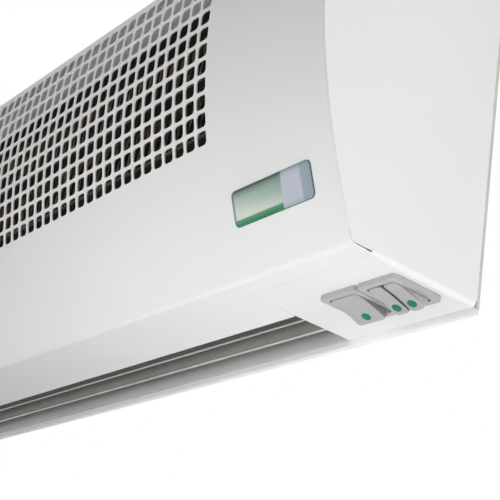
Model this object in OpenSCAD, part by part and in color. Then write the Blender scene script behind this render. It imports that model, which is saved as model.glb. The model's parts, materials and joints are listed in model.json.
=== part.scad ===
// Wall-mounted air curtain: a curved, perforated front cover over a crossflow fan and a heater,
// a bottom outlet slot with two guide vanes, and three rocker switches under the right end.
// X runs along the unit, -Y is the front and +Z is up. The origin lies on the wall face,
// halfway along the unit, at the height of the casing's underside.

/* [Grille] */
// Number of hole columns in the grille
grille_columns = 60; // [50:2:70]
// Number of hole rows in the grille
grille_rows = 11; // [9:1:11]
// Distance between hole centres
hole_pitch = 10; // [9.8:0.1:10]
// Side of one square hole
hole_side = 8; // [6:0.5:8]

/* [Casing] */
// Distance from the last column of holes to the end of the unit
end_margin = 97.5; // [96:0.5:110]
// Height of the casing
body_h = 186; // [184:1:190]
// Depth from the wall to the front of the cover
body_d = 125; // [125:1:130]
// Radius of the curved front
front_radius = 374; // [370:1:380]
// Height at which the front is furthest out
front_apex_z = 174; // [172:1:176]
// Rounding of the lower front edge
bottom_bend = 4; // [3:0.5:5]
// Rounding of the upper front edge
top_bend = 6; // [5:0.5:7]
// Thickness of the painted sheet
sheet = 1; // [0.8:0.1:1]
// Thickness of the rear plate
rear_t = 1.5; // [1.5:0.1:2]
// How far the rear plate's hem hangs below the casing
lip_drop = 3.3; // [2.5:0.1:4]

/* [Outlet] */
// Front edge of the outlet slot, from the wall
slot_front = 40.5; // [38:0.5:42]
// Height of the guide vanes
vane_h = 22; // [16:1:24]
// Height of the vanes' lower edges above the underside
vane_rise = 3; // [2:0.5:5]

/* [Fan] */
// Outer radius of the impeller
fan_r = 30; // [28:0.5:30]
// Number of impeller blades
fan_blades = 28; // [20:1:30]
// Radius of the motor shaft and the stub shaft
shaft_r = 4; // [4:0.5:4.5]
// Radial clearance of a running shaft
run_gap = 0.05; // [0.03:0.01:0.08]

/* [Switches] */
// Width of a switch bezel, along the unit
bezel_w = 26; // [25:0.1:26]
// Length of a switch bezel, from front to rear
bezel_l = 32.5; // [32:0.5:33]
// Thickness of a switch bezel
bezel_t = 2; // [1.5:0.1:2.2]
// Half of the angle that a rocker tips through
rocker_tilt = 14.2; // [12:0.1:14.4]
// Half length of a rocker
rocker_half = 10.7; // [10.4:0.1:10.8]

/* [Mounting] */
// Radius of the wall screw holes
wall_hole_r = 3.25; // [2.5:0.25:3.5]
// Height of the lower wall screw holes
wall_hole_low = 40; // [35:1:45]
// Height of the upper wall screw holes
wall_hole_high = 150; // [145:1:155]
// Bore radius of the cable gland
gland_r = 4; // [3:0.5:5]

/* [Hidden] */
eps = 0.01;
grille_len = (grille_columns - 1) * hole_pitch;
body_w = grille_len + 2 * end_margin;
half_w = body_w / 2;
duct_half = half_w - 89.5;
front_cy = front_radius - body_d;
row_angle = hole_pitch / front_radius * 180 / PI;
hem_t = rear_t + sheet;
flange_y = -71;
fold_r = 3;
plate_w = 1;
plate_x = duct_half;
fan_y = -55.5;
fan_z = 90;
fan_half = duct_half - 7;
guide_y = -50;
guide_z = 78;
guide_r = 46.5;
duct_t = 0.8;
motor_mid = -duct_half - 37;
motor_r = 37;
motor_screw_y = [fan_y - 20, fan_y + 20];
motor_screw_rise = 49;
heater_y = -102;
heater_z = [80, 120, 160];
heater_loops = 24;
wire_w = 1.2;
screw_r = 1.2;
cover_screw_r = 1.5;
cover_screw_x = [-300, 0, 300];
cover_screw_y = -111;
panel_screw_x = half_w - 7;
panel_screw_z = [20, 170];
plate_screw_x = duct_half + 7;
plate_screw_z = [20, 155];
lead_y = -92;
lead_rise = 8;
switch_x = [half_w - 45, half_w - 18.7];
switch_y = -35.8;
opening_w = 19.4;
opening_l = 25.6;
pivot_z = 0.9;
pin_r = 1;
rocker_tip = 5.8;
rocker_mid = 5.05;
rocker_r = sqrt(pow(rocker_half, 2) + pow(rocker_tip, 2));
rocker_top = 2.5;
plan_r = 2.3;
twin_step = 5.1;
dot_r = 2.55;
dot_at = 5.9;
dot_gap = 0.04;
gland_at = [half_w - 40.5, -36];
passage = [-20, 170];
white = [0.93, 0.93, 0.92];
zinc = [0.62, 0.63, 0.64];
switch_grey = [0.64, 0.65, 0.66];
teal = [0, 0.5, 0.43];

// Extrudes a drawing of (y, z) along X, about the middle of the unit.
module along_x(length) {
    rotate([90, 0, 90]) linear_extrude(height = length, center = true) children();
}

// Extrudes a drawing of (y, z) along X, from x to x + length.
module slab(x, length) {
    translate([x, 0, 0]) rotate([90, 0, 90]) linear_extrude(height = length) children();
}

// A cylinder along X from x, on the line through (y, z).
module rod_x(x, length, y, z, r, fn = 48) {
    translate([x, y, z]) rotate([0, 90, 0]) cylinder(r = r, h = length, $fn = fn);
}

// A cylinder along Y, from y towards the wall.
module rod_y(x, y, z, length, r, fn = 32) {
    translate([x, y, z]) rotate([-90, 0, 0]) cylinder(r = r, h = length, $fn = fn);
}

// A ring along X about the fan's axis.
module fan_ring(x, length, r_out, r_in, fn = 64) {
    difference() {
        rod_x(x, length, fan_y, fan_z, r_out, fn);
        rod_x(x - 1, length + 2, fan_y, fan_z, r_in, fn);
    }
}

// A strip of even thickness along a path of flat points, with mitred corners.
module bent_strip(path, t) {
    last = len(path) - 1;
    side = [for (i = [0:last])
        let (before = path[max(i, 1)] - path[max(i, 1) - 1],
             after = path[min(i, last - 1) + 1] - path[min(i, last - 1)],
             a = before / norm(before), b = after / norm(after),
             n = [-(a + b)[1], (a + b)[0]] / norm(a + b))
        n * t / 2 / max(n * [-a[1], a[0]], 0.3)];
    polygon(concat([for (i = [0:last]) path[i] + side[i]], [for (i = [last:-1:0]) path[i] - side[i]]));
}

// The casing's section inside the given wall, open to the wall side.
module casing_section(inset) {
    bottom_y = front_cy - sqrt(pow(front_radius - bottom_bend, 2) - pow(front_apex_z - bottom_bend, 2));
    bottom_dir = ([bottom_y, bottom_bend] - [front_cy, front_apex_z]) / (front_radius - bottom_bend);
    top_rise = body_h - top_bend - front_apex_z;
    top_y = front_cy - sqrt(pow(front_radius - top_bend, 2) - pow(top_rise, 2));
    top_dir = ([top_y, body_h - top_bend] - [front_cy, front_apex_z]) / (front_radius - top_bend);
    low = bottom_bend + (bottom_bend - inset) * bottom_dir[1];
    high = body_h - top_bend + (top_bend - inset) * top_dir[1];
    reach = 2 * body_d;
    intersection() {
        translate([front_cy, front_apex_z]) circle(r = front_radius - inset, $fn = 360);
        translate([-reach, low]) square([reach, high - low]);
    }
    translate([bottom_y, inset]) square([-bottom_y, low - inset + eps]);
    intersection() {
        translate([bottom_y, bottom_bend]) circle(r = bottom_bend - inset, $fn = 48);
        translate([bottom_y - bottom_bend, 0]) square([bottom_bend + eps, low + eps]);
    }
    translate([top_y, high - eps]) square([-top_y, body_h - inset - high + eps]);
    intersection() {
        translate([top_y, body_h - top_bend]) circle(r = top_bend - inset, $fn = 48);
        translate([top_y - top_bend, high - eps]) square([top_bend + eps, top_bend]);
    }
}

// Rows of square holes, each cut square to the curved front.
module grille_holes() {
    for (column = [0:grille_columns - 1], row = [0:grille_rows - 1]) {
        lean = row * row_angle;
        x = column * hole_pitch - grille_len / 2;
        translate([x, front_cy - front_radius * cos(lean), front_apex_z - front_radius * sin(lean)])
            rotate([lean, 0, 0])
                cube([hole_side, 4 * sheet, hole_side], center = true);
    }
}

module front_cover() {
    top_end = 104;
    lip_h = 12;
    color(white) difference() {
        along_x(body_w) {
            difference() {
                casing_section(0);
                casing_section(sheet);
                translate([-slot_front, -eps]) square([slot_front + 1, body_h / 2]);
                translate([-top_end, body_h / 3]) square([top_end + 1, body_h]);
            }
            translate([-slot_front - sheet, 0]) square([sheet, lip_h]);
        }
        grille_holes();
        for (x = cover_screw_x) translate([x, cover_screw_y, body_h - 5]) cylinder(r = cover_screw_r, h = 10, $fn = 24);
        for (side = [-1, 1])
            translate([side * (half_w + duct_half - 0.2) / 2, flange_y + slot_front, lip_h / 2])
                cube([half_w - duct_half + 0.2, 2 * slot_front, 2 * lip_h], center = true);
    }
}

module rear_plate() {
    color(white) difference() {
        along_x(body_w) {
            translate([-rear_t, -lip_drop + hem_t / 2]) square([rear_t, body_h - sheet + lip_drop - hem_t / 2]);
            translate([-hem_t, -lip_drop + hem_t / 2]) square([hem_t, lip_drop - hem_t / 2 - 0.3]);
            translate([-hem_t / 2, -lip_drop + hem_t / 2]) circle(r = hem_t / 2, $fn = 32);
        }
        for (side = [-1, 1], z = [wall_hole_low, wall_hole_high])
            rod_y(side * (half_w - 42.5), -5, z, 10, wall_hole_r);
        for (side = [-1, 1], z = panel_screw_z) rod_y(side * panel_screw_x, -5, z, 10, screw_r);
        for (side = [-1, 1], z = plate_screw_z) rod_y(side * plate_screw_x, -5, z, 10, screw_r);
    }
}

// Two cut-outs for the switches in the right-hand fold.
module switch_cutouts() {
    for (x = switch_x) translate([x, switch_y, 0]) cube([22.4, 29.4, 4 * sheet], center = true);
}

// One end of the casing: the side, its bottom fold and its inward flanges.
module side_panel() {
    inner = half_w - sheet;
    rear = -hem_t - 0.5;
    depth = rear - flange_y - 0.2;
    flange_w = 12;
    slab(inner, sheet) intersection() {
        casing_section(sheet + 0.2);
        union() {
            translate([-2 * body_d, fold_r]) square([2 * body_d + rear, body_h - sheet - fold_r]);
            translate([-2 * body_d, 2 * sheet]) square([2 * body_d + flange_y, fold_r]);
        }
    }
    slab(inner - flange_w, flange_w + eps) intersection() {
        difference() {
            casing_section(sheet + 0.2);
            casing_section(2 * sheet + 0.2);
        }
        translate([-2 * body_d, 8]) square([2 * body_d - 60, body_h - 14]);
    }
    translate([half_w - fold_r, rear, fold_r]) rotate([90, 0, 0]) linear_extrude(height = depth) intersection() {
        difference() {
            circle(r = fold_r, $fn = 32);
            circle(r = fold_r - sheet, $fn = 32);
        }
        translate([0, -fold_r]) square([fold_r, fold_r]);
    }
    difference() {
        translate([duct_half + 0.6, rear - depth, 0]) cube([half_w - fold_r - duct_half - 0.6, depth, sheet]);
        children();
    }
    translate([inner - 0.5, rear, fold_r]) linear_extrude(height = body_h - sheet - fold_r) intersection() {
        difference() {
            circle(r = sheet + 0.5, $fn = 32);
            circle(r = 0.5, $fn = 32);
        }
        square([sheet + 0.5, sheet + 0.5]);
    }
    difference() {
        translate([inner - 0.5 - flange_w, -hem_t, fold_r]) cube([flange_w, sheet, body_h - sheet - fold_r]);
        for (z = panel_screw_z) rod_y(panel_screw_x, -5, z, 10, screw_r);
    }
    translate([inner - flange_w, rear - 85, body_h - 2 * sheet]) cube([flange_w, 84, sheet]);
}

module right_side_panel() {
    color(white) side_panel() switch_cutouts();
}

module left_side_panel() {
    color(white) mirror([1, 0, 0]) side_panel();
}

module top_panel() {
    front = -103.6;
    color(white) difference() {
        union() {
            translate([-half_w, front, body_h - sheet]) cube([body_w, -front - rear_t - 0.1, sheet]);
            translate([14 - half_w, front - 13, body_h - 2 * sheet]) cube([body_w - 28, 18, sheet]);
        }
        translate([gland_at[0], gland_at[1], body_h - 5]) cylinder(r = 8.1, h = 10, $fn = 48);
        for (x = cover_screw_x) translate([x, cover_screw_y, body_h - 5]) cylinder(r = cover_screw_r, h = 10, $fn = 24);
    }
}

// A pan-head screw with its head towards +Z and a cross-shaped drive.
module screw(head_r, shank_r, length) {
    difference() {
        union() {
            cylinder(r = head_r, h = 1.8, $fn = 24);
            translate([0, 0, -length]) cylinder(r = shank_r, h = length, $fn = 24);
        }
        for (a = [0, 90]) rotate(a) translate([-head_r * 0.6, -0.4, 1]) cube([head_r * 1.2, 0.8, 1]);
    }
}

module cover_screws() {
    color("silver") for (x = cover_screw_x) translate([x, cover_screw_y, body_h]) screw(3.5, cover_screw_r, 6);
}

module panel_screws() {
    color("silver") for (side = [-1, 1], z = panel_screw_z)
        translate([side * panel_screw_x, -hem_t, z]) rotate([90, 0, 0]) screw(3, screw_r, 2.4);
}

// A wall across the casing at one end of the duct, with a flange on the rear plate.
module end_plate(hole_r) {
    flange_t = 1;
    difference() {
        slab(plate_x, plate_w) intersection() {
            casing_section(2.6);
            translate([-2 * body_d, 2 * sheet]) square([2 * body_d - hem_t - 0.1, body_h - 4.4]);
        }
        rod_x(plate_x - 5, 10, fan_y, fan_z, hole_r);
        rod_x(plate_x - 5, 10, passage[0], passage[1], 6, 32);
        children();
    }
    difference() {
        translate([plate_x, -rear_t - flange_t, 8]) cube([12, flange_t, body_h - 24]);
        for (z = plate_screw_z) rod_y(plate_screw_x, -5, z, 10, screw_r);
    }
}

module right_end_plate() {
    color(zinc) end_plate(16) {
        for (z = [heater_z[0], heater_z[1]]) rod_x(plate_x - 5, 10, lead_y, z + lead_rise, 2, 24);
    }
}

module left_end_plate() {
    color(zinc) mirror([1, 0, 0]) end_plate(14) {
        for (side = [-1, 1], y = motor_screw_y) rod_x(plate_x - 5, 10, y, fan_z + side * motor_screw_rise, screw_r, 24);
    }
}

module end_plate_screws() {
    color("silver") for (side = [-1, 1], z = plate_screw_z)
        translate([side * plate_screw_x, -rear_t - 1, z]) rotate([90, 0, 0]) screw(3, screw_r, 2.4);
}

// The fan's rear guide: an arc over the impeller that runs straight down to the slot.
module scroll_sheet() {
    start = 115;
    color(zinc) along_x(2 * duct_half - 0.2) {
        intersection() {
            translate([guide_y, guide_z]) difference() {
                circle(r = guide_r + duct_t, $fn = 180);
                circle(r = guide_r, $fn = 180);
            }
            translate([guide_y, guide_z])
                polygon([[0, 0], [80, 0], [80, 80], [0, 80], 80 * [cos(start), sin(start)]]);
        }
        translate([guide_y + guide_r, sheet]) square([duct_t, guide_z - sheet]);
        translate([guide_y, guide_z] + (guide_r + duct_t / 2) * [cos(start), sin(start)])
            circle(r = duct_t, $fn = 24);
    }
}

// The wall between intake and outlet, with its round nose close to the impeller.
module outlet_tongue() {
    wall_y = -slot_front - sheet - duct_t / 2 - 0.1;
    nose = [fan_y, fan_z] + (fan_r + 4) * [cos(238), sin(238)];
    color(zinc) along_x(2 * duct_half - 0.2) {
        bent_strip([[wall_y, sheet + 1], [wall_y, 16], nose, nose + [-5, 1], [-88, 56], [-102, 56], [-102, 64]], duct_t);
    }
}

// A guide vane: a strip with a rounded hem along its lower edge.
module vane(y, lean) {
    hem_r = 0.9;
    color(zinc) along_x(2 * duct_half) translate([y, vane_rise + hem_r]) rotate(lean) {
        translate([-duct_t / 2, 0]) square([duct_t, vane_h - hem_r]);
        circle(r = hem_r, $fn = 24);
    }
}

module front_outlet_vane() {
    vane(-30.2, 8);
}

module rear_outlet_vane() {
    vane(-15.3, 4);
}

// One curved blade in the impeller's section.
function blade(r_in, r_out, t, steps = 4) =
    let (r = [for (i = [0:steps]) r_in + (r_out - r_in) * i / steps],
         turn = [for (i = [0:steps]) 40 * pow(i / steps, 1.5)],
         thick = [for (i = [0:steps]) t / r[i] * 180 / PI])
    concat([for (i = [0:steps]) r[i] * [cos(turn[i]), sin(turn[i])]],
           [for (i = [steps:-1:0]) r[i] * [cos(turn[i] + thick[i]), sin(turn[i] + thick[i])]]);

module impeller() {
    disc_t = 2;
    cells = 6;
    step = (2 * fan_half - disc_t) / cells;
    color([0.2, 0.2, 0.21]) difference() {
        union() {
            for (i = [0:cells]) rod_x(-fan_half + i * step, disc_t, fan_y, fan_z, fan_r, 96);
            translate([-fan_half + disc_t / 2, fan_y, fan_z]) rotate([90, 0, 90])
                linear_extrude(height = 2 * fan_half - disc_t)
                    for (k = [0:fan_blades - 1]) rotate(k * 360 / fan_blades)
                        polygon(blade(fan_r - 6.5, fan_r - 0.4, 0.9));
            rod_x(-fan_half, 16, fan_y, fan_z, 12);
            rod_x(fan_half - 12, 12, fan_y, fan_z, 10);
        }
        rod_x(-fan_half - 1, 17, fan_y, fan_z, 9);
        rod_x(fan_half - 12, 13, fan_y, fan_z, shaft_r);
    }
}

module impeller_hub() {
    color([0.1, 0.1, 0.1]) fan_ring(-fan_half, 16, 9, shaft_r);
}

module impeller_stub_shaft() {
    color("silver") rod_x(fan_half - 12, 28, fan_y, fan_z, shaft_r);
}

module bearing_bush() {
    color([0.72, 0.55, 0.3]) fan_ring(plate_x - 4, 10, 8, shaft_r + run_gap);
}

module bearing_mount() {
    color([0.1, 0.1, 0.1]) {
        fan_ring(plate_x - 3, 3, 19, 8);
        fan_ring(plate_x, plate_w, 15.9, 8);
        fan_ring(plate_x + plate_w, 3, 19, 8);
    }
}

module motor_shaft() {
    color("silver") rod_x(motor_mid - 34, 34 - motor_mid - fan_half + 15, fan_y, fan_z, shaft_r);
}

module motor_rotor() {
    color([0.45, 0.45, 0.47]) fan_ring(motor_mid - 12, 24, 21.5, shaft_r);
}

module motor_stator() {
    color([0.35, 0.35, 0.37]) fan_ring(motor_mid - 12, 24, motor_r - 1.6, 22);
}

module motor_windings() {
    bundle_r = 4.5;
    color([0.72, 0.4, 0.2]) for (side = [-1, 1])
        translate([motor_mid + side * (12.2 + bundle_r), fan_y, fan_z]) rotate([0, 90, 0])
            rotate_extrude($fn = 64) translate([28, 0]) circle(r = bundle_r, $fn = 24);
}

module motor_bearings() {
    color("silver") for (x = [motor_mid - 28, motor_mid + 22])
        fan_ring(x, 6, 11, shaft_r + run_gap);
}

// One half of the motor's housing: a cup with a seat for its bearing.
module motor_cup() {
    wall = 1.5;
    difference() {
        rod_x(motor_mid - 28, 28, fan_y, fan_z, motor_r, 96);
        rod_x(motor_mid - 26.5, 30, fan_y, fan_z, motor_r - wall, 96);
        rod_x(motor_mid - 29, 10, fan_y, fan_z, 11);
    }
    fan_ring(motor_mid - 28, 6, 13, 11);
}

module motor_rear_cup() {
    color([0.25, 0.25, 0.26]) motor_cup();
}

module motor_front_cup() {
    color([0.25, 0.25, 0.26]) translate([2 * motor_mid, 0, 0]) mirror([1, 0, 0]) motor_cup();
}

// A channel that carries the motor on the left end plate.
module motor_bracket() {
    face = motor_mid + 28;
    foot = -plate_x - plate_w;
    tall = 86;
    color(zinc) difference() {
        translate([0, fan_y + 30, 0]) rotate([90, 0, 0]) linear_extrude(height = 60) {
            translate([face, fan_z - tall / 2]) square([1.5, tall]);
            for (side = [-1, 1]) {
                translate([face, fan_z + side * (tall / 2 - 0.75) - 0.75]) square([foot - face, 1.5]);
                translate([foot - 1.5, fan_z + side * (tall / 2 + 5) - 6]) square([1.5, 12]);
            }
        }
        rod_x(face - 5, 15, fan_y, fan_z, 14);
        for (side = [-1, 1], y = motor_screw_y) rod_x(foot - 5, 10, y, fan_z + side * motor_screw_rise, screw_r, 24);
    }
}

module motor_screws() {
    color("silver") for (side = [-1, 1], y = motor_screw_y)
        translate([-plate_x - plate_w - 1.5, y, fan_z + side * motor_screw_rise]) rotate([0, -90, 0])
            screw(2.8, screw_r, 3.5);
}

module run_capacitor() {
    color([0.85, 0.85, 0.83]) {
        rod_x(-half_w + 18, 48, -75, 156, 12.5);
        for (y = [-79, -71]) translate([-half_w + 66, y - 1, 153]) cube([7, 0.8, 6]);
    }
}

module capacitor_clip() {
    x = -half_w + 36;
    color(zinc) {
        difference() {
            rod_x(x, 12, -75, 156, 13.5);
            rod_x(x - 1, 14, -75, 156, 12.5);
        }
        translate([x, -77, 169]) cube([12, 4, body_h - sheet - 169]);
    }
}

module heater_rails() {
    color([0.62, 0.55, 0.42]) for (z = heater_z)
        translate([-duct_half + 1.2, heater_y - 6, z - 0.75]) cube([2 * duct_half - 2.4, 12, 1.5]);
}

// Points of a zigzag of heater_loops loops between two heights, as (x, z).
function zigzag(low, high) =
    let (count = 2 * heater_loops, reach = duct_half - 16)
    [for (i = [0:count]) [-reach + 2 * reach * i / count, i % 2 == 0 ? low : high]];

// The least distance between the middle points of passes that lie next to each other, less the wire.
function zigzag_gap(path) =
    min([for (i = [0:len(path) - 3]) norm((path[i] + path[i + 1] - path[i + 1] - path[i + 2]) / 2)]) - wire_w;

// One zigzag of resistance wire between two rails.
module heater_winding(low, high) {
    path = zigzag(low + 2.8, high - 2.8);
    echo(heater_wire_gap = zigzag_gap(path));
    translate([0, heater_y + wire_w / 2, 0]) rotate([90, 0, 0]) linear_extrude(height = wire_w)
        bent_strip(path, wire_w);
}

module lower_heater_winding() {
    color([0.45, 0.33, 0.2]) heater_winding(heater_z[0], heater_z[1]);
}

module upper_heater_winding() {
    color([0.45, 0.33, 0.2]) heater_winding(heater_z[1], heater_z[2]);
}

// An upright on the duct's end with a shelf under each rail.
module heater_bracket() {
    color(zinc) {
        translate([duct_half - 1.1, heater_y - 7, heater_z[0] - 6]) cube([1.1, 14, 96]);
        for (z = heater_z) translate([duct_half - 9, heater_y - 6, z - 1.75]) cube([8, 12, 1]);
    }
}

module right_heater_bracket() {
    heater_bracket();
}

module left_heater_bracket() {
    mirror([1, 0, 0]) heater_bracket();
}

module overheat_thermostat() {
    color([0.15, 0.12, 0.1]) {
        rod_x(duct_half - 7, 7, -78, 150, 8);
        rod_x(duct_half - 9, 2, -78, 150, 5);
    }
}

module terminal_block() {
    ways = 5;
    at = [half_w - 76, -21.5, 120];
    color([0.9, 0.9, 0.86]) difference() {
        translate(at) cube([60, 20, 22]);
        for (i = [0:ways - 1]) {
            translate(at + [6 + 12 * i, 8, -1]) cylinder(r = 2.2, h = 12, $fn = 24);
            rod_y(at[0] + 6 + 12 * i, at[1] - 1, at[2] + 14, 6, 3);
        }
    }
}

module terminal_screws() {
    color([0.8, 0.65, 0.3]) for (i = [0:4])
        translate([half_w - 70 + 12 * i, -18.4, 134]) rotate([90, 0, 0]) screw(2.6, screw_r, 1.9);
}

module cable_gland() {
    color([0.15, 0.15, 0.16]) translate([gland_at[0], gland_at[1], 0]) difference() {
        union() {
            translate([0, 0, body_h - 10]) cylinder(r = 8, h = 11, $fn = 48);
            translate([0, 0, body_h]) cylinder(r = 12, h = 4, $fn = 6);
            translate([0, 0, body_h + 4]) cylinder(r = 9.5, h = 6, $fn = 48);
        }
        translate([0, 0, body_h - 12]) cylinder(r = gland_r, h = 30, $fn = 48);
    }
}

module gland_locknut() {
    color([0.15, 0.15, 0.16]) translate([gland_at[0], gland_at[1], body_h - sheet - 4]) difference() {
        cylinder(r = 12, h = 4, $fn = 6);
        translate([0, 0, -1]) cylinder(r = 8, h = 6, $fn = 48);
    }
}

module earth_stud() {
    color([0.8, 0.65, 0.3]) rod_y(half_w - 25, -16, 60, 16 - rear_t, 2);
}

module earth_nut() {
    color([0.8, 0.65, 0.3]) difference() {
        translate([half_w - 25, -8, 60]) rotate([-90, 0, 0]) cylinder(r = 4, h = 3.2, $fn = 6);
        rod_y(half_w - 25, -9, 60, 6, 2);
    }
}

// A rectangle with rounded corners, about the origin.
module plan_blank(width, length, r) {
    hull() for (a = [-1, 1], b = [-1, 1])
        translate([a * (width / 2 - r), b * (length / 2 - r)]) circle(r = r, $fn = 32);
}

// A switch body at x: a bezel with eased edges under the fold, and a box above it.
module switch_housing(x) {
    body = [22, 28.8];
    depth = 20;
    wall = 1.2;
    ease = 0.4;
    difference() {
        translate([x, switch_y, 0]) {
            mirror([0, 0, 1]) hull() for (level = [[0, 0], [bezel_t - ease, 0], [bezel_t - eps, ease]])
                translate([0, 0, level[0]]) linear_extrude(height = eps)
                    plan_blank(bezel_w - 2 * level[1], bezel_l - 2 * level[1], plan_r - level[1]);
            translate([-body[0] / 2, -body[1] / 2, -eps]) cube([body[0], body[1], depth]);
        }
        translate([x, switch_y, -bezel_t - 1]) linear_extrude(height = bezel_t + 1.5)
            plan_blank(opening_w, opening_l, plan_r);
        translate([x - opening_w / 2, switch_y - body[1] / 2 + wall, 0])
            cube([opening_w, body[1] - 2 * wall, depth - wall]);
        rod_x(x - opening_w / 2 - 1, opening_w + 2, switch_y, pivot_z, pin_r, 32);
    }
}

module fan_switch_housing() {
    color(switch_grey) switch_housing(switch_x[0]);
}

module heat_switch_housing() {
    color(switch_grey) switch_housing(switch_x[1]);
}

// Depth of a rocker's hollow face below its pin, at the given distance along it.
function face_drop(along) = rocker_mid + (rocker_tip - rocker_mid) * pow(along / rocker_half, 2);

// A rocker on the pin at x, its front end pressed and its rear end standing out.
module rocker(x, width) {
    levels = 10;
    steps = 12;
    color(switch_grey) translate([x, switch_y, pivot_z]) rotate([-rocker_tilt, 0, 0]) difference() {
        hull() for (i = [0:levels]) let (z = -rocker_tip + i * (rocker_top + rocker_tip) / levels)
            translate([0, 0, z]) linear_extrude(height = eps)
                plan_blank(width, 2 * sqrt(pow(rocker_r, 2) - pow(z, 2)), plan_r);
        along_x(width + 1) polygon(concat(
            [for (i = [-steps:steps]) let (y = i * rocker_r / steps) [y, -face_drop(y)]],
            [[rocker_r, -2 * rocker_tip], [-rocker_r, -2 * rocker_tip]]));
        rod_x(-width, 2 * width, 0, 0, pin_r + run_gap, 32);
        rocker_face() cylinder(r = dot_r + dot_gap, h = 2, center = true, $fn = 40);
    }
}

// Places something on the standing half of a rocker, its +Z into the rocker.
module rocker_face() {
    slope = atan(2 * (rocker_tip - rocker_mid) * dot_at / pow(rocker_half, 2));
    translate([0, dot_at, -face_drop(dot_at)]) rotate([-slope, 0, 0]) children();
}

// A dot set in a rocker, standing a little proud.
module rocker_dot(x) {
    color(teal) translate([x, switch_y, pivot_z]) rotate([-rocker_tilt, 0, 0]) rocker_face()
        translate([0, 0, -0.3]) cylinder(r = dot_r, h = 1.3, $fn = 40);
}

module fan_rocker() {
    rocker(switch_x[0], 19);
}

module heat_rocker_one() {
    rocker(switch_x[1] - twin_step, 8.8);
}

module heat_rocker_two() {
    rocker(switch_x[1] + twin_step, 8.8);
}

module fan_rocker_dot() {
    rocker_dot(switch_x[0]);
}

module heat_dot_one() {
    rocker_dot(switch_x[1] - twin_step);
}

module heat_dot_two() {
    rocker_dot(switch_x[1] + twin_step);
}

module rocker_pins() {
    color("silver") for (x = switch_x) rod_x(x - opening_w / 2 - 0.9, opening_w + 1.8, switch_y, pivot_z, pin_r, 32);
}

module switch_tabs() {
    color([0.8, 0.65, 0.3]) for (x = switch_x, row = [-6, 6], column = [-8, 0, 8])
        translate([x + row - 0.4, switch_y + column - 2.4, 20 - eps]) cube([0.8, 4.8, 8]);
}

// Rings of points square to a path, for a tube with flat sides.
function ring(path, i, r, sides) =
    let (last = len(path) - 1,
         before = i == 0 ? path[1] - path[0] : path[i] - path[i - 1],
         after = i == last ? before : path[i + 1] - path[i],
         a = before / norm(before), b = after / norm(after),
         d = (a + b) / norm(a + b),
         up = abs(d[2]) < 0.8 ? [0, 0, 1] : [1, 0, 0],
         u = cross(d, up) / norm(cross(d, up)), v = cross(u, d))
    [for (k = [0:sides - 1]) path[i] + r * (cos(k * 360 / sides) * u + sin(k * 360 / sides) * v)];

// A tube along a path, closed at both ends.
module tube(path, r, sides = 8) {
    last = len(path) - 1;
    points = [for (i = [0:last]) each ring(path, i, r, sides)];
    polyhedron(points, concat(
        [[for (k = [sides - 1:-1:0]) k]],
        [for (i = [0:last - 1], k = [0:sides - 1]) let (m = (k + 1) % sides)
            [i * sides + k, i * sides + m, (i + 1) * sides + m, (i + 1) * sides + k]],
        [[for (k = [0:sides - 1]) last * sides + k]]));
}

// Leads from the terminal block down to the switches.
module switch_wiring() {
    color([0.55, 0.3, 0.15]) for (i = [0:2]) {
        x = half_w - 58 + 12 * i;
        end = [switch_x[i == 0 ? 0 : 1] + (i == 1 ? -6 : 6), switch_y + 8, 28];
        tube([[x, -13.5, 120], [x, -13.5, 100], [x + 2, -16, 80], end + [0, 4, 34], end + [0, 0, 14], end], 1.3);
    }
}

// The lead from the fan switch over the duct to the motor.
module motor_wiring() {
    start = [switch_x[0] - 6, switch_y, 28];
    bend = [half_w - 82, passage[0], passage[1]];
    back = [-half_w + 82, passage[0], passage[1]];
    color([0.12, 0.12, 0.13]) tube([
        start, start + [0, 0, 20], [half_w - 76, -40, 90], [half_w - 76, -28, 140], bend + [4, -2, -8], bend,
        [0, passage[0], passage[1]], back, back + [-5, -2, -4], [-half_w + 60, -40, 150],
        [-half_w + 50, fan_y + 3, 136], [-half_w + 50, fan_y, 131], [-half_w + 50, fan_y, fan_z + motor_r]
    ], 2.5);
}

// Leads from the terminal block through the duct's end to the heater.
module heater_wiring() {
    color([0.75, 0.72, 0.66]) for (i = [0, 1]) {
        x = half_w - 70 + 12 * i;
        z = heater_z[i] + lead_rise;
        tube([[x, -13.5, 142], [x, -13.5, 148], [x - 2, -20, 156], [half_w - 76, -60, 150 + 6 * i],
              [half_w - 80, -86, z + 10], [half_w - 84, lead_y, z], [duct_half - 6, lead_y, z],
              [duct_half - 13, heater_y + 2.2, z - 2]], 1.4);
    }
}

// A rubber ring in each end plate's cable hole.
module wire_grommets() {
    color([0.1, 0.1, 0.1]) for (side = [-1, 1]) difference() {
        union() {
            rod_x(side * (plate_x + 0.5) - 2.5, 5, passage[0], passage[1], 5.9, 32);
            for (out = [-1.5, 1.5])
                rod_x(side * (plate_x + 0.5) + out - 0.9, 1.8, passage[0], passage[1], 8, 32);
        }
        rod_x(side * (plate_x + 0.5) - 4, 8, passage[0], passage[1], 3, 32);
    }
}

// Places a drawing flat on the curved front, its +Z outwards, around the badge's middle.
module badge_place() {
    badge_z = 33.5;
    lean = asin((front_apex_z - badge_z) / front_radius);
    translate([half_w - 47.4, front_cy - front_radius * cos(lean), badge_z]) rotate([90 + lean, 0, 0]) children();
}

// A rectangle with round corners.
module round_plate(size, r, t) {
    linear_extrude(height = t) {
        square([size[0] - 2 * r, size[1]], center = true);
        square([size[0], size[1] - 2 * r], center = true);
        for (x = [-1, 1], y = [-1, 1])
            translate([x * (size[0] / 2 - r), y * (size[1] / 2 - r)]) circle(r = r, $fn = 32);
    }
}

module badge_plate() {
    color([0.1, 0.45, 0.25]) badge_place() round_plate([59.4, 18.7], 3, 0.4);
}

module badge_dome() {
    color([0.75, 0.82, 0.88]) badge_place() translate([0, 0, 0.4]) round_plate([58.8, 18.1], 2.8, 0.8);
}

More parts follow.
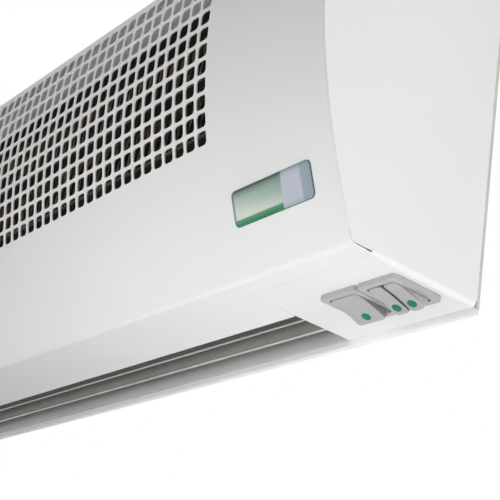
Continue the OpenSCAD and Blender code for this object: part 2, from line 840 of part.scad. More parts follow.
rear_plate();
right_side_panel();
left_side_panel();
front_cover();
top_panel();
cover_screws();
panel_screws();
right_end_plate();
left_end_plate();
end_plate_screws();
scroll_sheet();
outlet_tongue();
front_outlet_vane();
rear_outlet_vane();
impeller();
impeller_hub();
impeller_stub_shaft();
bearing_bush();
bearing_mount();
motor_shaft();
motor_rotor();
motor_stator();
motor_windings();
motor_bearings();
motor_rear_cup();
motor_front_cup();
motor_bracket();
motor_screws();
run_capacitor();
capacitor_clip();
heater_rails();
lower_heater_winding();
upper_heater_winding();
right_heater_bracket();
left_heater_bracket();
overheat_thermostat();
terminal_block();
terminal_screws();
cable_gland();
gland_locknut();
earth_stud();
earth_nut();
fan_switch_housing();
heat_switch_housing();
fan_rocker();
heat_rocker_one();
heat_rocker_two();
fan_rocker_dot();
heat_dot_one();
heat_dot_two();
rocker_pins();
switch_tabs();
switch_wiring();
motor_wiring();
heater_wiring();
wire_grommets();
badge_plate();
badge_dome();
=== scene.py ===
"""A white wall-mounted air curtain, seen from below its right end.

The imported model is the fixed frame. Sheet metal, switches, badge and heater wire are modelled here
over it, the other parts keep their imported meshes, and every part gets a procedural finish.
Lengths are metres: X runs along the unit, -Y is the front, +Z is up and the wall face is y = 0.
"""

import json
import logging
import math
from dataclasses import dataclass
from enum import Enum
from typing import Callable, Optional

import bmesh
import bpy
from mathutils import Matrix, Vector

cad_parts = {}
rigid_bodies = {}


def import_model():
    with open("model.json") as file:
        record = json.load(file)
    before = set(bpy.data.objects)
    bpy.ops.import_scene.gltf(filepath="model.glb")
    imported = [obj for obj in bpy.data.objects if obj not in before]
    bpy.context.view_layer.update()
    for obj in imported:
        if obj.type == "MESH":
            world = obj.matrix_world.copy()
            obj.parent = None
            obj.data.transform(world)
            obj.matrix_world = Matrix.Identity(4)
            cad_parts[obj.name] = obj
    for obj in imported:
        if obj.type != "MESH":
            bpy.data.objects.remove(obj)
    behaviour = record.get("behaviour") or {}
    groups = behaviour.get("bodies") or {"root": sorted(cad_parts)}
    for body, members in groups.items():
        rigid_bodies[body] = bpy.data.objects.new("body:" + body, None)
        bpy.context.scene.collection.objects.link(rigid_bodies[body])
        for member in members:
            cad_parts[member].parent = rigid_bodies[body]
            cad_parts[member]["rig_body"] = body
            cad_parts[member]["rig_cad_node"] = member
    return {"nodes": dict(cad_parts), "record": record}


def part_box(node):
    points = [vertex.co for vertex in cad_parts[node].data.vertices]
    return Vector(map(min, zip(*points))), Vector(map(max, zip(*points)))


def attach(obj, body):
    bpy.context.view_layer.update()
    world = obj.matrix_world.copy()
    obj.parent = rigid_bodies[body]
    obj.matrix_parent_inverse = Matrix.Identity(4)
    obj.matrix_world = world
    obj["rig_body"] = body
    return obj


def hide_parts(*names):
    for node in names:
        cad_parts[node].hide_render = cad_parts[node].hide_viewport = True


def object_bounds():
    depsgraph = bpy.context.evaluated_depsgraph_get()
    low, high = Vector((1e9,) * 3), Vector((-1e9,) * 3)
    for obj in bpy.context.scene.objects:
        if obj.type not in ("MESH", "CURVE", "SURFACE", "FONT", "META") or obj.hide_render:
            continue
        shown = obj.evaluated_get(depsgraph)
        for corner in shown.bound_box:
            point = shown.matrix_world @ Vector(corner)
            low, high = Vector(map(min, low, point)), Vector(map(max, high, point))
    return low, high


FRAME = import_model()
CAD_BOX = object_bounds()
MM = 0.001
FRONT_RADIUS = 374 * MM
APEX_Z = 174 * MM
SAME_PLACE = 1e-6
CORNER_STEPS = 6
DOWN = Vector((0, 0, -1))
LOG = logging.getLogger("air_curtain")
Pair = tuple[float, float]
Triple = tuple[float, float, float]
Colour = Triple
Test = Callable[[Vector], bool]
Piece = bpy.types.Object
Node = bpy.types.Node
Socket = bpy.types.NodeSocket
Graph = bpy.types.NodeTree


# ---------------------------------------------------------------- modelling by hand


class Part(Enum):
    """The elements that a selection is made of."""

    POINTS = "VERT"
    EDGES = "EDGE"
    FACES = "FACE"


def deselect() -> None:
    """Leaves edit mode and deselects every object."""
    if bpy.context.mode != "OBJECT":
        bpy.ops.object.mode_set(mode="OBJECT")
    for thing in bpy.context.view_layer.objects:
        thing.select_set(False)


def take_up(piece: Piece) -> None:
    """Leaves edit mode and selects one object, alone and active."""
    deselect()
    piece.select_set(True)
    bpy.context.view_layer.objects.active = piece


def link(thing: Piece) -> None:
    """Puts an object into the scene."""
    bpy.context.scene.collection.objects.link(thing)


class Blank:
    """A mesh on the bench: it starts as a primitive and is shaped with edit-mode operators."""

    def __init__(self, name: str, primitive: Callable, scale: Triple = (1, 1, 1), **values: object) -> None:
        """Adds the primitive and enters edit mode with nothing selected.

        Args:
            name: The piece's name.
            primitive: The bpy.ops call that adds the starting shape.
            scale: How far it is stretched each way about its middle.
            **values: Its size, place and turn.
        """
        deselect()
        primitive(**values)
        self.body = bpy.context.object
        self.body.name = name
        self.body.scale = scale
        bpy.ops.object.transform_apply(location=True, rotation=True, scale=True)
        bpy.ops.object.mode_set(mode="EDIT")
        bpy.ops.mesh.select_all(action="DESELECT")

    def start_also(self, size: Pair, height: float) -> None:
        """Adds a level plane round the origin's axis to the mesh, alone selected."""
        bpy.ops.mesh.select_all(action="DESELECT")
        bpy.ops.mesh.primitive_plane_add(size=1)
        self.scale((*size, 1), Vector())
        self.move((0, 0, height))

    def points(self, test: Test) -> list[Vector]:
        """Returns the places of the corners that pass a test."""
        return [corner.co.copy() for corner in bmesh.from_edit_mesh(self.body.data).verts if test(corner.co)]

    def cut(self, place: Vector, normal: Vector) -> None:
        """Cuts the whole mesh along a plane and keeps both sides."""
        bpy.ops.mesh.select_all(action="SELECT")
        bpy.ops.mesh.bisect(plane_co=place, plane_no=normal)

    def pick(self, part: Part, test: Test, rim: bool = False) -> None:
        """Selects the elements whose every corner and middle pass a test.

        Args:
            part: What to select.
            test: Says whether a corner's place belongs to the selection.
            rim: Whether only edges on an open rim are meant.
        """
        bpy.ops.mesh.select_mode(type=part.value)
        bpy.ops.mesh.select_all(action="DESELECT")
        mesh = bmesh.from_edit_mesh(self.body.data)
        for item in {Part.POINTS: mesh.verts, Part.EDGES: mesh.edges, Part.FACES: mesh.faces}[part]:
            corners = [corner.co for corner in ([item] if part is Part.POINTS else item.verts)]
            corners.append(sum(corners, Vector()) / len(corners))
            if all(test(corner) for corner in corners) and (not rim or item.is_boundary):
                item.select_set(True)
        mesh.select_flush_mode()
        bmesh.update_edit_mesh(self.body.data)

    def pick_facing(self, way: Vector, least: float = 0.99) -> None:
        """Selects the faces that look one way, by the least cosine between their normal and that way."""
        bpy.ops.mesh.select_mode(type="FACE")
        bpy.ops.mesh.select_all(action="DESELECT")
        mesh = bmesh.from_edit_mesh(self.body.data)
        mesh.normal_update()
        for face in mesh.faces:
            if face.normal.dot(way) > least:
                face.select_set(True)
        mesh.select_flush_mode()
        bmesh.update_edit_mesh(self.body.data)

    def pick_all(self, part: Optional[Part] = None) -> None:
        """Selects the whole mesh, by points, edges or faces if one is named."""
        if part:
            bpy.ops.mesh.select_mode(type=part.value)
        bpy.ops.mesh.select_all(action="SELECT")

    def move(self, by: Vector) -> None:
        """Moves the selection."""
        bpy.ops.transform.translate(value=by)

    def shift(self, test: Test, by: Vector) -> None:
        """Moves the corners whose places pass a test."""
        self.pick(Part.POINTS, test)
        self.move(by)

    def scale(self, by: Vector, about: Vector) -> None:
        """Scales the selection about a point."""
        bpy.ops.transform.resize(value=by, center_override=tuple(about))

    def turn(self, angle: float, about: Vector) -> None:
        """Turns the selection right-handed about a line through a point along X."""
        bpy.ops.transform.rotate(value=-angle, orient_axis="X", center_override=tuple(about))

    def spin(self, angle: float, steps: int, axis: Vector, about: Vector) -> None:
        """Sweeps the selection right-handed round an axis through a point."""
        bpy.ops.mesh.spin(angle=-angle, steps=steps, axis=axis, center=about)

    def pull_edges(self, by: Vector) -> None:
        """Extrudes the selected edges."""
        bpy.ops.mesh.extrude_edges_move(TRANSFORM_OT_translate={"value": tuple(by)})

    def pull_rim(self, test: Test, by: Vector) -> None:
        """Extrudes the edges of an open rim whose places pass a test."""
        self.pick(Part.EDGES, test, rim=True)
        self.pull_edges(by)

    def pull_faces(self, by: Vector) -> None:
        """Extrudes the selected faces."""
        bpy.ops.mesh.extrude_region_move(TRANSFORM_OT_translate={"value": tuple(by)})

    def keep_outlines(self) -> None:
        """Deletes the faces and keeps their edges."""
        self.pick_all(Part.FACES)
        bpy.ops.mesh.delete(type="ONLY_FACE")

    def round_off(self, radius: float, steps: int, affect: str = "EDGES") -> None:
        """Bevels the selected edges or points into a round."""
        bpy.ops.mesh.bevel(
            offset=radius, offset_type="OFFSET", segments=steps, affect=affect, clamp_overlap=True
        )

    def weld(self) -> None:
        """Merges the whole mesh's doubles and turns its faces outwards."""
        bpy.ops.mesh.select_all(action="SELECT")
        bpy.ops.mesh.remove_doubles(threshold=SAME_PLACE)
        bpy.ops.mesh.normals_make_consistent(inside=False)
        bpy.ops.mesh.select_all(action="DESELECT")

    def modify(self, kind: str, **values: object) -> None:
        """Adds a modifier with its settings, applies it and returns to edit mode."""
        take_up(self.body)
        modifier = self.body.modifiers.new(kind.lower(), kind)
        for setting, value in values.items():
            setattr(modifier, setting, value)
        bpy.ops.object.modifier_apply(modifier=modifier.name)
        bpy.ops.object.mode_set(mode="EDIT")

    def repeat(self, count: int, step: Triple, gap: float = SAME_PLACE) -> None:
        """Repeats the mesh in a row and merges the copies where they meet."""
        self.modify("ARRAY", count=count, use_relative_offset=False, use_constant_offset=True,
                    constant_offset_displace=step, use_merge_vertices=True, merge_threshold=gap)

    def soften(self, width: float, steps: int, least_angle: float = 30.0) -> None:
        """Rounds all edges that are sharper than an angle in degrees."""
        self.modify("BEVEL", width=width, segments=steps, limit_method="ANGLE",
                    angle_limit=math.radians(least_angle), harden_normals=True)

    def leave(self, smooth_angle: float = 35.0) -> Piece:
        """Leaves edit mode, shades the mesh smooth up to an angle in degrees and returns its object."""
        take_up(self.body)
        bpy.ops.object.shade_smooth_by_angle(angle=math.radians(smooth_angle))
        self.modify("WEIGHTED_NORMAL", keep_sharp=True)
        deselect()
        return self.body


def block(name: str, size: Triple, middle: Triple) -> Blank:
    """Starts a box of a size round its middle."""
    return Blank(name, bpy.ops.mesh.primitive_cube_add, size, size=1, location=middle)


def rounded_plate(name: str, size: Pair, height: float, corner: float) -> Blank:
    """Starts a level plate with round corners, round the Z axis."""
    blank = Blank(name, bpy.ops.mesh.primitive_plane_add, (*size, 1), size=1, location=(0, 0, height))
    blank.pick_all()
    blank.round_off(corner, CORNER_STEPS, "VERTICES")
    return blank


def copy_of(piece: Piece, name: str, by: Vector = Vector()) -> Piece:
    """Copies a piece with a mesh of its own, moved by a vector, and returns the copy."""
    twin = piece.copy()
    twin.data = piece.data.copy()
    twin.name = name
    twin.data.transform(Matrix.Translation(by))
    link(twin)
    return twin


def join(pieces: list[Piece]) -> Piece:
    """Joins pieces into the first one and returns it."""
    deselect()
    for piece in pieces:
        piece.select_set(True)
    bpy.context.view_layer.objects.active = pieces[0]
    bpy.ops.object.join()
    return pieces[0]


class Casting(Blank):
    """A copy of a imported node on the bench, its triangles merged into whole faces."""

    def __init__(self, node: str) -> None:
        """Copies the node, merges its corners and faces and enters edit mode with nothing selected."""
        deselect()
        self.body = copy_of(FRAME["nodes"][node], node + "_finished")
        self.body.parent = None
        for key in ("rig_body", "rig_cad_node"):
            del self.body[key]
        take_up(self.body)
        bpy.ops.mesh.customdata_custom_splitnormals_clear()
        bpy.ops.object.mode_set(mode="EDIT")
        bpy.ops.mesh.select_all(action="SELECT")
        bpy.ops.mesh.remove_doubles(threshold=SAME_PLACE)
        bpy.ops.mesh.dissolve_limited(angle_limit=math.radians(0.5))
        bpy.ops.mesh.select_all(action="DESELECT")

    def finished(self, edge: float, least_angle: float = 32.0) -> Piece:
        """Rounds the edges that are sharper than an angle in degrees and leaves edit mode."""
        self.soften(edge, 2, least_angle)
        return self.leave(least_angle)


# ---------------------------------------------------------------- finishes


class Grain(Enum):
    """The fine relief that a finish has."""

    PEEL = "orange peel of baked paint"
    MOULD = "spark-eroded texture of moulded plastic"
    SPANGLE = "crystals of hot-dip zinc"
    BRUSH = "fine scratches along the unit"
    CAST = "grain of paint on a casting"
    FLAKE = "layers of pressed mica"


class Tree:
    """A node tree under construction."""

    def __init__(self, tree: Graph) -> None:
        """Starts on an empty tree."""
        self.tree = tree
        tree.nodes.clear()

    def feed(self, node: Node, feeds: dict) -> None:
        """Sets a node's inputs, by name or number, each to a value or to the socket that feeds it."""
        for socket, value in feeds.items():
            if isinstance(value, Socket):
                self.tree.links.new(value, node.inputs[socket])
            else:
                node.inputs[socket].default_value = value

    def add(self, kind: str, feeds: Optional[dict] = None, **settings: object) -> Node:
        """Adds a node.

        Args:
            kind: The node's type without its ShaderNode prefix.
            feeds: For each input, by name or number, a value or the socket that feeds it.
            **settings: The node's own settings.

        Returns:
            The node.
        """
        node = self.tree.nodes.new(kind if kind.startswith("NodeGroup") else "ShaderNode" + kind)
        for setting, value in settings.items():
            setattr(node, setting, value)
        self.feed(node, feeds or {})
        return node

    def mix(self, share: object, a: object, b: object) -> Socket:
        """Mixes two colours and returns the result's socket."""
        feeds = {0: share, 6: a, 7: b}
        feeds = {at: (*value, 1.0) if isinstance(value, tuple) else value for at, value in feeds.items()}
        return self.add("Mix", feeds, data_type="RGBA").outputs[2]

    def ramp(self, value: Socket, low: float, high: float, to: Pair = (0.0, 1.0)) -> Socket:
        """Maps a value from low and high to a new range, smoothly and clamped."""
        feeds = {"Value": value, "From Min": low, "From Max": high, "To Min": to[0], "To Max": to[1]}
        return self.add("MapRange", feeds, interpolation_type="SMOOTHSTEP").outputs[0]

    def fade(self, colours: tuple, value: Socket, low: float, high: float, to: Pair = (0.0, 1.0)) -> Socket:
        """Mixes two colours by how a value lies between low and high."""
        return self.mix(self.ramp(value, low, high, to), *colours)

    def maths(self, operation: str, a: object, b: object = 0.0) -> Socket:
        """Works out one operation on two values."""
        return self.add("Math", {0: a, 1: b}, operation=operation).outputs[0]


class Group(Tree):
    """A shader node group under construction, whose patterns read its place and scale."""

    def __init__(self, name: str, inputs: dict[str, str], outputs: dict[str, str]) -> None:
        """Starts the group.

        Args:
            name: The group's name.
            inputs: Socket names and their types, without the NodeSocket prefix.
            outputs: Socket names and their types, without the NodeSocket prefix.
        """
        group = bpy.data.node_groups.new(name, "ShaderNodeTree")
        for way, sockets in (("INPUT", inputs), ("OUTPUT", outputs)):
            for socket, kind in sockets.items():
                group.interface.new_socket(socket, in_out=way, socket_type="NodeSocket" + kind)
        super().__init__(group)
        self.ins = self.add("NodeGroupInput").outputs
        self.outs = self.add("NodeGroupOutput")

    def pattern(self, kind: str, values: dict, **settings: object) -> Node:
        """Adds a texture at the group's place and scale, with values for its other inputs."""
        feeds = {"Vector": self.ins["Place"], **values}
        if "Scale" not in values:
            feeds["Scale"] = self.ins["Scale"]
        return self.add(kind, feeds, **settings)

    def closed(self, feeds: dict) -> Graph:
        """Feeds the group's outputs and returns the group."""
        self.feed(self.outs, feeds)
        return self.tree


class Effects:
    """The shader node groups that the finishes share, each built once."""

    RELIEF_IN = {"Place": "Vector", "Scale": "Float"}
    RELIEF_OUT = {"Height": "Float", "Mask": "Float"}

    def __init__(self) -> None:
        """Builds every group."""
        self.tone = self._tone()
        self.dust = self._dust()
        self.relief = {
            Grain.PEEL: self._noise_relief("peel_relief", 2.0, 0.45, 0.0),
            Grain.MOULD: self._noise_relief("mould_relief", 4.0, 0.6, 0.0),
            Grain.CAST: self._noise_relief("cast_relief", 6.0, 0.7, 0.4),
            Grain.SPANGLE: self._spangle(),
            Grain.BRUSH: self._brush(),
            Grain.FLAKE: self._flake(),
        }

    def _tone(self) -> Graph:
        """Slow drift between two colours over a surface."""
        inputs = {"Place": "Vector", "Scale": "Float", "Light": "Color", "Dark": "Color"}
        group = Group("tone_drift", inputs, {"Colour": "Color", "Mask": "Float"})
        noise = group.pattern("TexNoise", {"Detail": 3.0, "Roughness": 0.55})
        mask = group.ramp(noise.outputs[0], 0.36, 0.66)
        return group.closed({"Colour": group.mix(mask, group.ins["Light"], group.ins["Dark"]), "Mask": mask})

    def _dust(self) -> Graph:
        """Dust that settles in patches on what faces up."""
        inputs = {"Place": "Vector", "Normal": "Vector", "Amount": "Float"}
        group = Group("settled_dust", inputs, {"Mask": "Float"})
        up = group.add("SeparateXYZ", {0: group.ins["Normal"]}).outputs[2]
        patches = group.pattern("TexNoise", {"Scale": 90.0, "Detail": 5.0}).outputs[0]
        share = group.maths("MULTIPLY", group.ramp(up, 0.1, 0.9), group.ramp(patches, 0.35, 0.7, (0.3, 1.0)))
        return group.closed({"Mask": group.maths("MULTIPLY", share, group.ins["Amount"])})

    def _noise_relief(self, name: str, detail: float, rough: float, warp: float) -> Graph:
        """Relief from noise, for paint, plastic and castings.

        Args:
            name: The group's name.
            detail: The noise's octaves.
            rough: How strong the finer octaves are.
            warp: The noise's distortion.

        Returns:
            The group.
        """
        group = Group(name, self.RELIEF_IN, self.RELIEF_OUT)
        values = {"Detail": detail, "Roughness": rough, "Distortion": warp}
        noise = group.pattern("TexNoise", values).outputs[0]
        return group.closed({"Height": noise, "Mask": group.ramp(noise, 0.3, 0.7)})

    def _spangle(self) -> Graph:
        """Flat zinc crystals, each of its own tone."""
        group = Group("zinc_spangle", self.RELIEF_IN, self.RELIEF_OUT)
        crystals = group.pattern("TexVoronoi", {"Randomness": 1.0}, feature="F1")
        tone = group.add("SeparateColor", {0: crystals.outputs["Color"]}).outputs[0]
        fine = group.pattern("TexNoise", {"Scale": 2500.0, "Detail": 2.0}).outputs[0]
        return group.closed({"Height": group.maths("MULTIPLY_ADD", fine, 0.3), "Mask": tone})

    def _brush(self) -> Graph:
        """Fine scratches along X."""
        group = Group("brushed_relief", self.RELIEF_IN, self.RELIEF_OUT)
        stretch = group.add("Mapping", {"Vector": group.ins["Place"], "Scale": (0.04, 1.0, 1.0)})
        noise = group.pattern("TexNoise", {"Vector": stretch.outputs[0], "Detail": 4.0}).outputs[0]
        return group.closed({"Height": noise, "Mask": group.ramp(noise, 0.35, 0.65)})

    def _flake(self) -> Graph:
        """Overlapping flakes of mica."""
        group = Group("mica_flake", self.RELIEF_IN, self.RELIEF_OUT)
        flakes = group.pattern("TexVoronoi", {"Randomness": 1.0}, feature="F1", distance="MANHATTAN")
        tone = group.add("SeparateColor", {0: flakes.outputs["Color"]}).outputs[1]
        return group.closed({"Height": flakes.outputs["Distance"], "Mask": tone})


@dataclass(frozen=True)
class Finish:
    """How a surface is finished: its tones, its gloss and its fine relief."""

    name: str
    light: Colour
    dark: Colour
    grain: Grain
    grain_scale: float
    relief: float
    rough: Pair
    metallic: float = 0.0
    drift_scale: float = 12.0
    grain_tone: float = 0.0
    grain_colour: Colour = (0.5, 0.5, 0.5)
    dust: float = 0.0
    dust_colour: Colour = (0.42, 0.39, 0.35)
    dust_rough: float = 0.9
    coat: float = 0.0
    coat_rough: float = 0.06
    specular: float = 0.5

    def base_colour(self, tree: Tree, place: Socket, drift: Node) -> Socket:
        """The colour under grain and dust: here the slow drift between the two tones."""
        return drift.outputs["Colour"]

    def build(self, effects: Effects) -> bpy.types.Material:
        """Builds the material out of the shared node groups."""
        material = bpy.data.materials.new(self.name)
        material.use_nodes = True
        tree = Tree(material.node_tree)
        coordinates = tree.add("TexCoord")
        place = coordinates.outputs["Object"]
        light, dark = (*self.light, 1.0), (*self.dark, 1.0)
        feeds = {"Place": place, "Scale": self.drift_scale, "Light": light, "Dark": dark}
        drift = tree.add("Group", feeds, node_tree=effects.tone)
        feeds = {"Place": place, "Scale": self.grain_scale}
        relief = tree.add("Group", feeds, node_tree=effects.relief[self.grain])
        colour = self.base_colour(tree, place, drift)
        if self.grain_tone:
            share = tree.maths("MULTIPLY", relief.outputs["Mask"], self.grain_tone)
            colour = tree.mix(share, colour, self.grain_colour)
        halves = [tree.maths("MULTIPLY", node.outputs["Mask"], 0.5) for node in (relief, drift)]
        rough = tree.ramp(tree.maths("ADD", *halves), 0.0, 1.0, self.rough)
        if self.dust:
            feeds = {"Place": place, "Normal": coordinates.outputs["Normal"], "Amount": self.dust}
            layer = tree.add("Group", feeds, node_tree=effects.dust).outputs["Mask"]
            colour = tree.mix(layer, colour, self.dust_colour)
            rough = tree.maths("MAXIMUM", rough, tree.maths("MULTIPLY", layer, self.dust_rough))
        feeds = {"Height": relief.outputs["Height"], "Strength": 1.0, "Distance": self.relief}
        bump = tree.add("Bump", feeds)
        shader = tree.add("BsdfPrincipled", {
            "Base Color": colour,
            "Roughness": rough,
            "Normal": bump.outputs[0],
            "Metallic": self.metallic,
            "Specular IOR Level": self.specular,
            "Coat Weight": self.coat,
            "Coat Roughness": self.coat_rough,
        })
        tree.add("OutputMaterial", {0: shader.outputs[0]})
        return material


@dataclass(frozen=True)
class LabelPrintAndPaintedReflection(Finish):
    """A label's print under clear resin: a green field over a green bar, and a blue-grey end. The field's
    pale lower left is a painted reflection of the lamps in the resin, and the field darkens towards its top
    edge and left end.
    """

    middle: Triple = (0.0, 0.0, 0.0)
    size: Pair = (59.4 * MM, 18.7 * MM)
    division: Pair = (0.638, 0.018)
    slant: float = 0.45
    shade: Pair = (0.22, 1.0)
    dark_top: Pair = (0.66, 0.97)
    dark_left: Pair = (0.012, 0.06)
    bar_top: Pair = (0.15, 0.20)
    end_band: Pair = (0.87, 0.90)
    end_top: Pair = (0.68, 1.0)
    end_foot: Pair = (0.0, 0.16)
    crisp: float = 0.006
    drift_share: float = 0.06
    reflection_pale: Colour = (0.62, 0.68, 0.61)
    field_high: Colour = (0.20, 0.32, 0.255)
    field_top: Colour = (0.012, 0.036, 0.027)
    bar_green: Colour = (0.0, 0.19, 0.065)
    end_pale: Colour = (0.46, 0.485, 0.57)
    end_dark: Colour = (0.235, 0.31, 0.375)

    def base_colour(self, tree: Tree, place: Socket, drift: Node) -> Socket:
        """Draws the print, with the painted reflection on the field, from the place along and up the badge,
        over the slow drift.
        """
        width, height = self.size
        x0, _, z0 = self.middle
        start = (x0 - width / 2, 0.0, z0 - height / 2)
        inside = tree.add("VectorMath", {0: place, 1: start}, operation="SUBTRACT")
        parts = tree.add("SeparateXYZ", {0: inside.outputs[0]})
        along = tree.maths("DIVIDE", parts.outputs[0], width)
        up = tree.maths("DIVIDE", parts.outputs[2], height)
        slant = tree.maths("ADD", up, tree.maths("MULTIPLY", along, self.slant))
        # Painted reflection: the field turns pale towards its lower left, where the resin would reflect the
        # lamps.
        field = tree.fade((self.reflection_pale, self.field_high), slant, *self.shade)
        field = tree.fade((field, self.field_top), up, *self.dark_top)
        field = tree.fade((field, self.field_top), along, *self.dark_left, (0.9, 0.0))
        field = tree.fade((field, self.bar_green), up, *self.bar_top, (1.0, 0.0))
        at, lean = self.division
        line = tree.maths("SUBTRACT", along, tree.maths("ADD", tree.maths("MULTIPLY", up, lean), at))
        end = tree.fade((self.end_pale, self.end_dark), along, *self.end_band, (0.0, 0.9))
        end = tree.fade((end, self.end_dark), up, *self.end_top, (0.0, 0.8))
        end = tree.fade((end, self.end_dark), up, *self.end_foot, (0.7, 0.0))
        printed = tree.fade((field, end), line, -self.crisp, self.crisp)
        return tree.mix(self.drift_share, printed, drift.outputs["Colour"])


@dataclass(frozen=True)
class PaintedShadeZinc(Finish):
    """Zinc sheet with painted shade above its hem, standing for the shade that the cover's lip casts on the
    vane's face.
    """

    hem_top: float = 3.0 * MM
    shade_full: float = 3.4 * MM
    shade_share: float = 0.9
    shade_colour: Colour = (0.23, 0.225, 0.215)

    def base_colour(self, tree: Tree, place: Socket, drift: Node) -> Socket:
        """The zinc's drift up to the top of the hem, painted shade above it."""
        height = tree.add("SeparateXYZ", {0: place}).outputs[2]
        colours = (drift.outputs["Colour"], self.shade_colour)
        # Painted shade: above the hem the colour turns to the dark shade colour.
        return tree.fade(colours, height, self.hem_top, self.shade_full, (0.0, self.shade_share))


FINISHES = {
    "white_paint": Finish(
        "baked_white_paint", (0.86, 0.86, 0.855), (0.83, 0.83, 0.83), Grain.PEEL, 700.0, 0.012 * MM,
        (0.46, 0.56), drift_scale=5.0, grain_tone=0.03, grain_colour=(0.78, 0.78, 0.78), specular=0.32,
    ),
    "zinc_sheet": Finish(
        "hot_dip_zinc", (0.54, 0.53, 0.50), (0.47, 0.46, 0.435), Grain.SPANGLE, 160.0, 0.01 * MM,
        (0.42, 0.58), 0.25, drift_scale=25.0, grain_tone=0.2, grain_colour=(0.58, 0.575, 0.55),
    ),
    "bright_steel": Finish(
        "plated_steel", (0.62, 0.62, 0.61), (0.52, 0.52, 0.52), Grain.BRUSH, 2200.0, 0.006 * MM,
        (0.2, 0.34), 1.0, drift_scale=80.0,
    ),
    "black_impeller": Finish(
        "black_enamel", (0.028, 0.028, 0.030), (0.016, 0.016, 0.018), Grain.CAST, 900.0, 0.02 * MM,
        (0.42, 0.6), drift_scale=30.0,
    ),
    "black_rubber": Finish(
        "matt_black_rubber", (0.022, 0.022, 0.022), (0.014, 0.014, 0.014), Grain.MOULD, 1600.0, 0.03 * MM,
        (0.6, 0.8), dust=0.1,
    ),
    "bronze": Finish(
        "sintered_bronze", (0.52, 0.33, 0.14), (0.38, 0.24, 0.11), Grain.CAST, 1400.0, 0.01 * MM,
        (0.3, 0.5), 1.0, drift_scale=90.0,
    ),
    "laminations": Finish(
        "stacked_laminations", (0.20, 0.20, 0.21), (0.12, 0.12, 0.13), Grain.CAST, 1500.0, 0.03 * MM,
        (0.4, 0.6), 0.9, drift_scale=60.0,
    ),
    "copper_wire": Finish(
        "enamelled_copper", (0.55, 0.22, 0.08), (0.36, 0.12, 0.045), Grain.BRUSH, 1800.0, 0.12 * MM,
        (0.25, 0.4), 0.8, drift_scale=60.0, coat=0.3,
    ),
    "motor_paint": Finish(
        "motor_enamel", (0.045, 0.045, 0.048), (0.03, 0.03, 0.033), Grain.CAST, 800.0, 0.05 * MM,
        (0.4, 0.55), dust=0.12,
    ),
    "capacitor_case": Finish(
        "grey_capacitor_resin", (0.66, 0.66, 0.63), (0.58, 0.58, 0.56), Grain.MOULD, 1500.0, 0.015 * MM,
        (0.35, 0.5), dust=0.1,
    ),
    # Painted shade: the mica is near black so that the rails lit through the grille read as the shade inside
    # the casing.
    "mica": Finish(
        "painted_shade_mica", (0.032, 0.024, 0.016), (0.018, 0.014, 0.010), Grain.FLAKE, 420.0, 0.03 * MM,
        (0.4, 0.6), drift_scale=60.0, grain_tone=0.35, grain_colour=(0.06, 0.048, 0.034), specular=0.3,
    ),
    "heater_wire": Finish(
        "resistance_wire", (0.24, 0.18, 0.10), (0.05, 0.038, 0.024), Grain.CAST, 500.0, 0.02 * MM,
        (0.3, 0.5), 0.85, drift_scale=140.0,
    ),
    "dark_plastic": Finish(
        "dark_moulding", (0.032, 0.031, 0.030), (0.022, 0.021, 0.021), Grain.MOULD, 1500.0, 0.02 * MM,
        (0.4, 0.55), dust=0.1,
    ),
    "cream_plastic": Finish(
        "cream_moulding", (0.72, 0.68, 0.56), (0.64, 0.60, 0.49), Grain.MOULD, 1500.0, 0.015 * MM,
        (0.35, 0.5), drift_scale=40.0,
    ),
    "brass_metal": Finish(
        "drawn_brass", (0.62, 0.45, 0.18), (0.5, 0.36, 0.14), Grain.BRUSH, 1500.0, 0.008 * MM,
        (0.25, 0.4), 1.0, drift_scale=80.0,
    ),
    "switch_plastic": Finish(
        "grey_switch_moulding", (0.395, 0.400, 0.398), (0.375, 0.380, 0.378), Grain.MOULD, 1500.0,
        0.01 * MM, (0.36, 0.46), drift_scale=70.0, grain_tone=0.06, grain_colour=(0.34, 0.34, 0.34),
    ),
    "teal_dot": Finish(
        "teal_inlay", (0.0, 0.185, 0.138), (0.0, 0.15, 0.115), Grain.MOULD, 900.0, 0.008 * MM,
        (0.3, 0.42), drift_scale=300.0, specular=0.2,
    ),
    "brown_leads": Finish(
        "brown_insulation", (0.16, 0.06, 0.025), (0.12, 0.045, 0.02), Grain.MOULD, 900.0, 0.02 * MM,
        (0.4, 0.55),
    ),
    "black_lead": Finish(
        "black_insulation", (0.022, 0.022, 0.024), (0.016, 0.016, 0.017), Grain.MOULD, 900.0, 0.02 * MM,
        (0.4, 0.55), dust=0.1,
    ),
    "white_leads": Finish(
        "white_insulation", (0.66, 0.64, 0.58), (0.55, 0.53, 0.47), Grain.MOULD, 900.0, 0.02 * MM,
        (0.5, 0.65),
    ),
    "badge_print": Finish(
        "green_print", (0.02, 0.13, 0.07), (0.015, 0.11, 0.06), Grain.MOULD, 1200.0, 0.005 * MM,
        (0.35, 0.45),
    ),
}

# Lit and shaded copies of the zinc for the outlet: the front vane carries painted shade above its hem, and
# the scroll sheet's lighter zinc is painted light for the light that reaches the outlet's rear wall.
OUTLET_LIT_AND_SHADED_ZINC = {
    "front_outlet_vane": PaintedShadeZinc(
        "painted_shade_zinc", (0.60, 0.59, 0.56), (0.53, 0.52, 0.495), Grain.SPANGLE, 160.0, 0.01 * MM,
        (0.42, 0.58), 0.25,
    ),
    # Painted light: zinc made lighter than the zinc sheet, for the lit rear wall of the outlet.
    "scroll_sheet": Finish(
        "painted_light_zinc", (0.72, 0.72, 0.72), (0.65, 0.65, 0.655), Grain.SPANGLE, 160.0, 0.01 * MM,
        (0.42, 0.58), 0.25,
    ),
}


# ---------------------------------------------------------------- the workshop: finishing and placing pieces


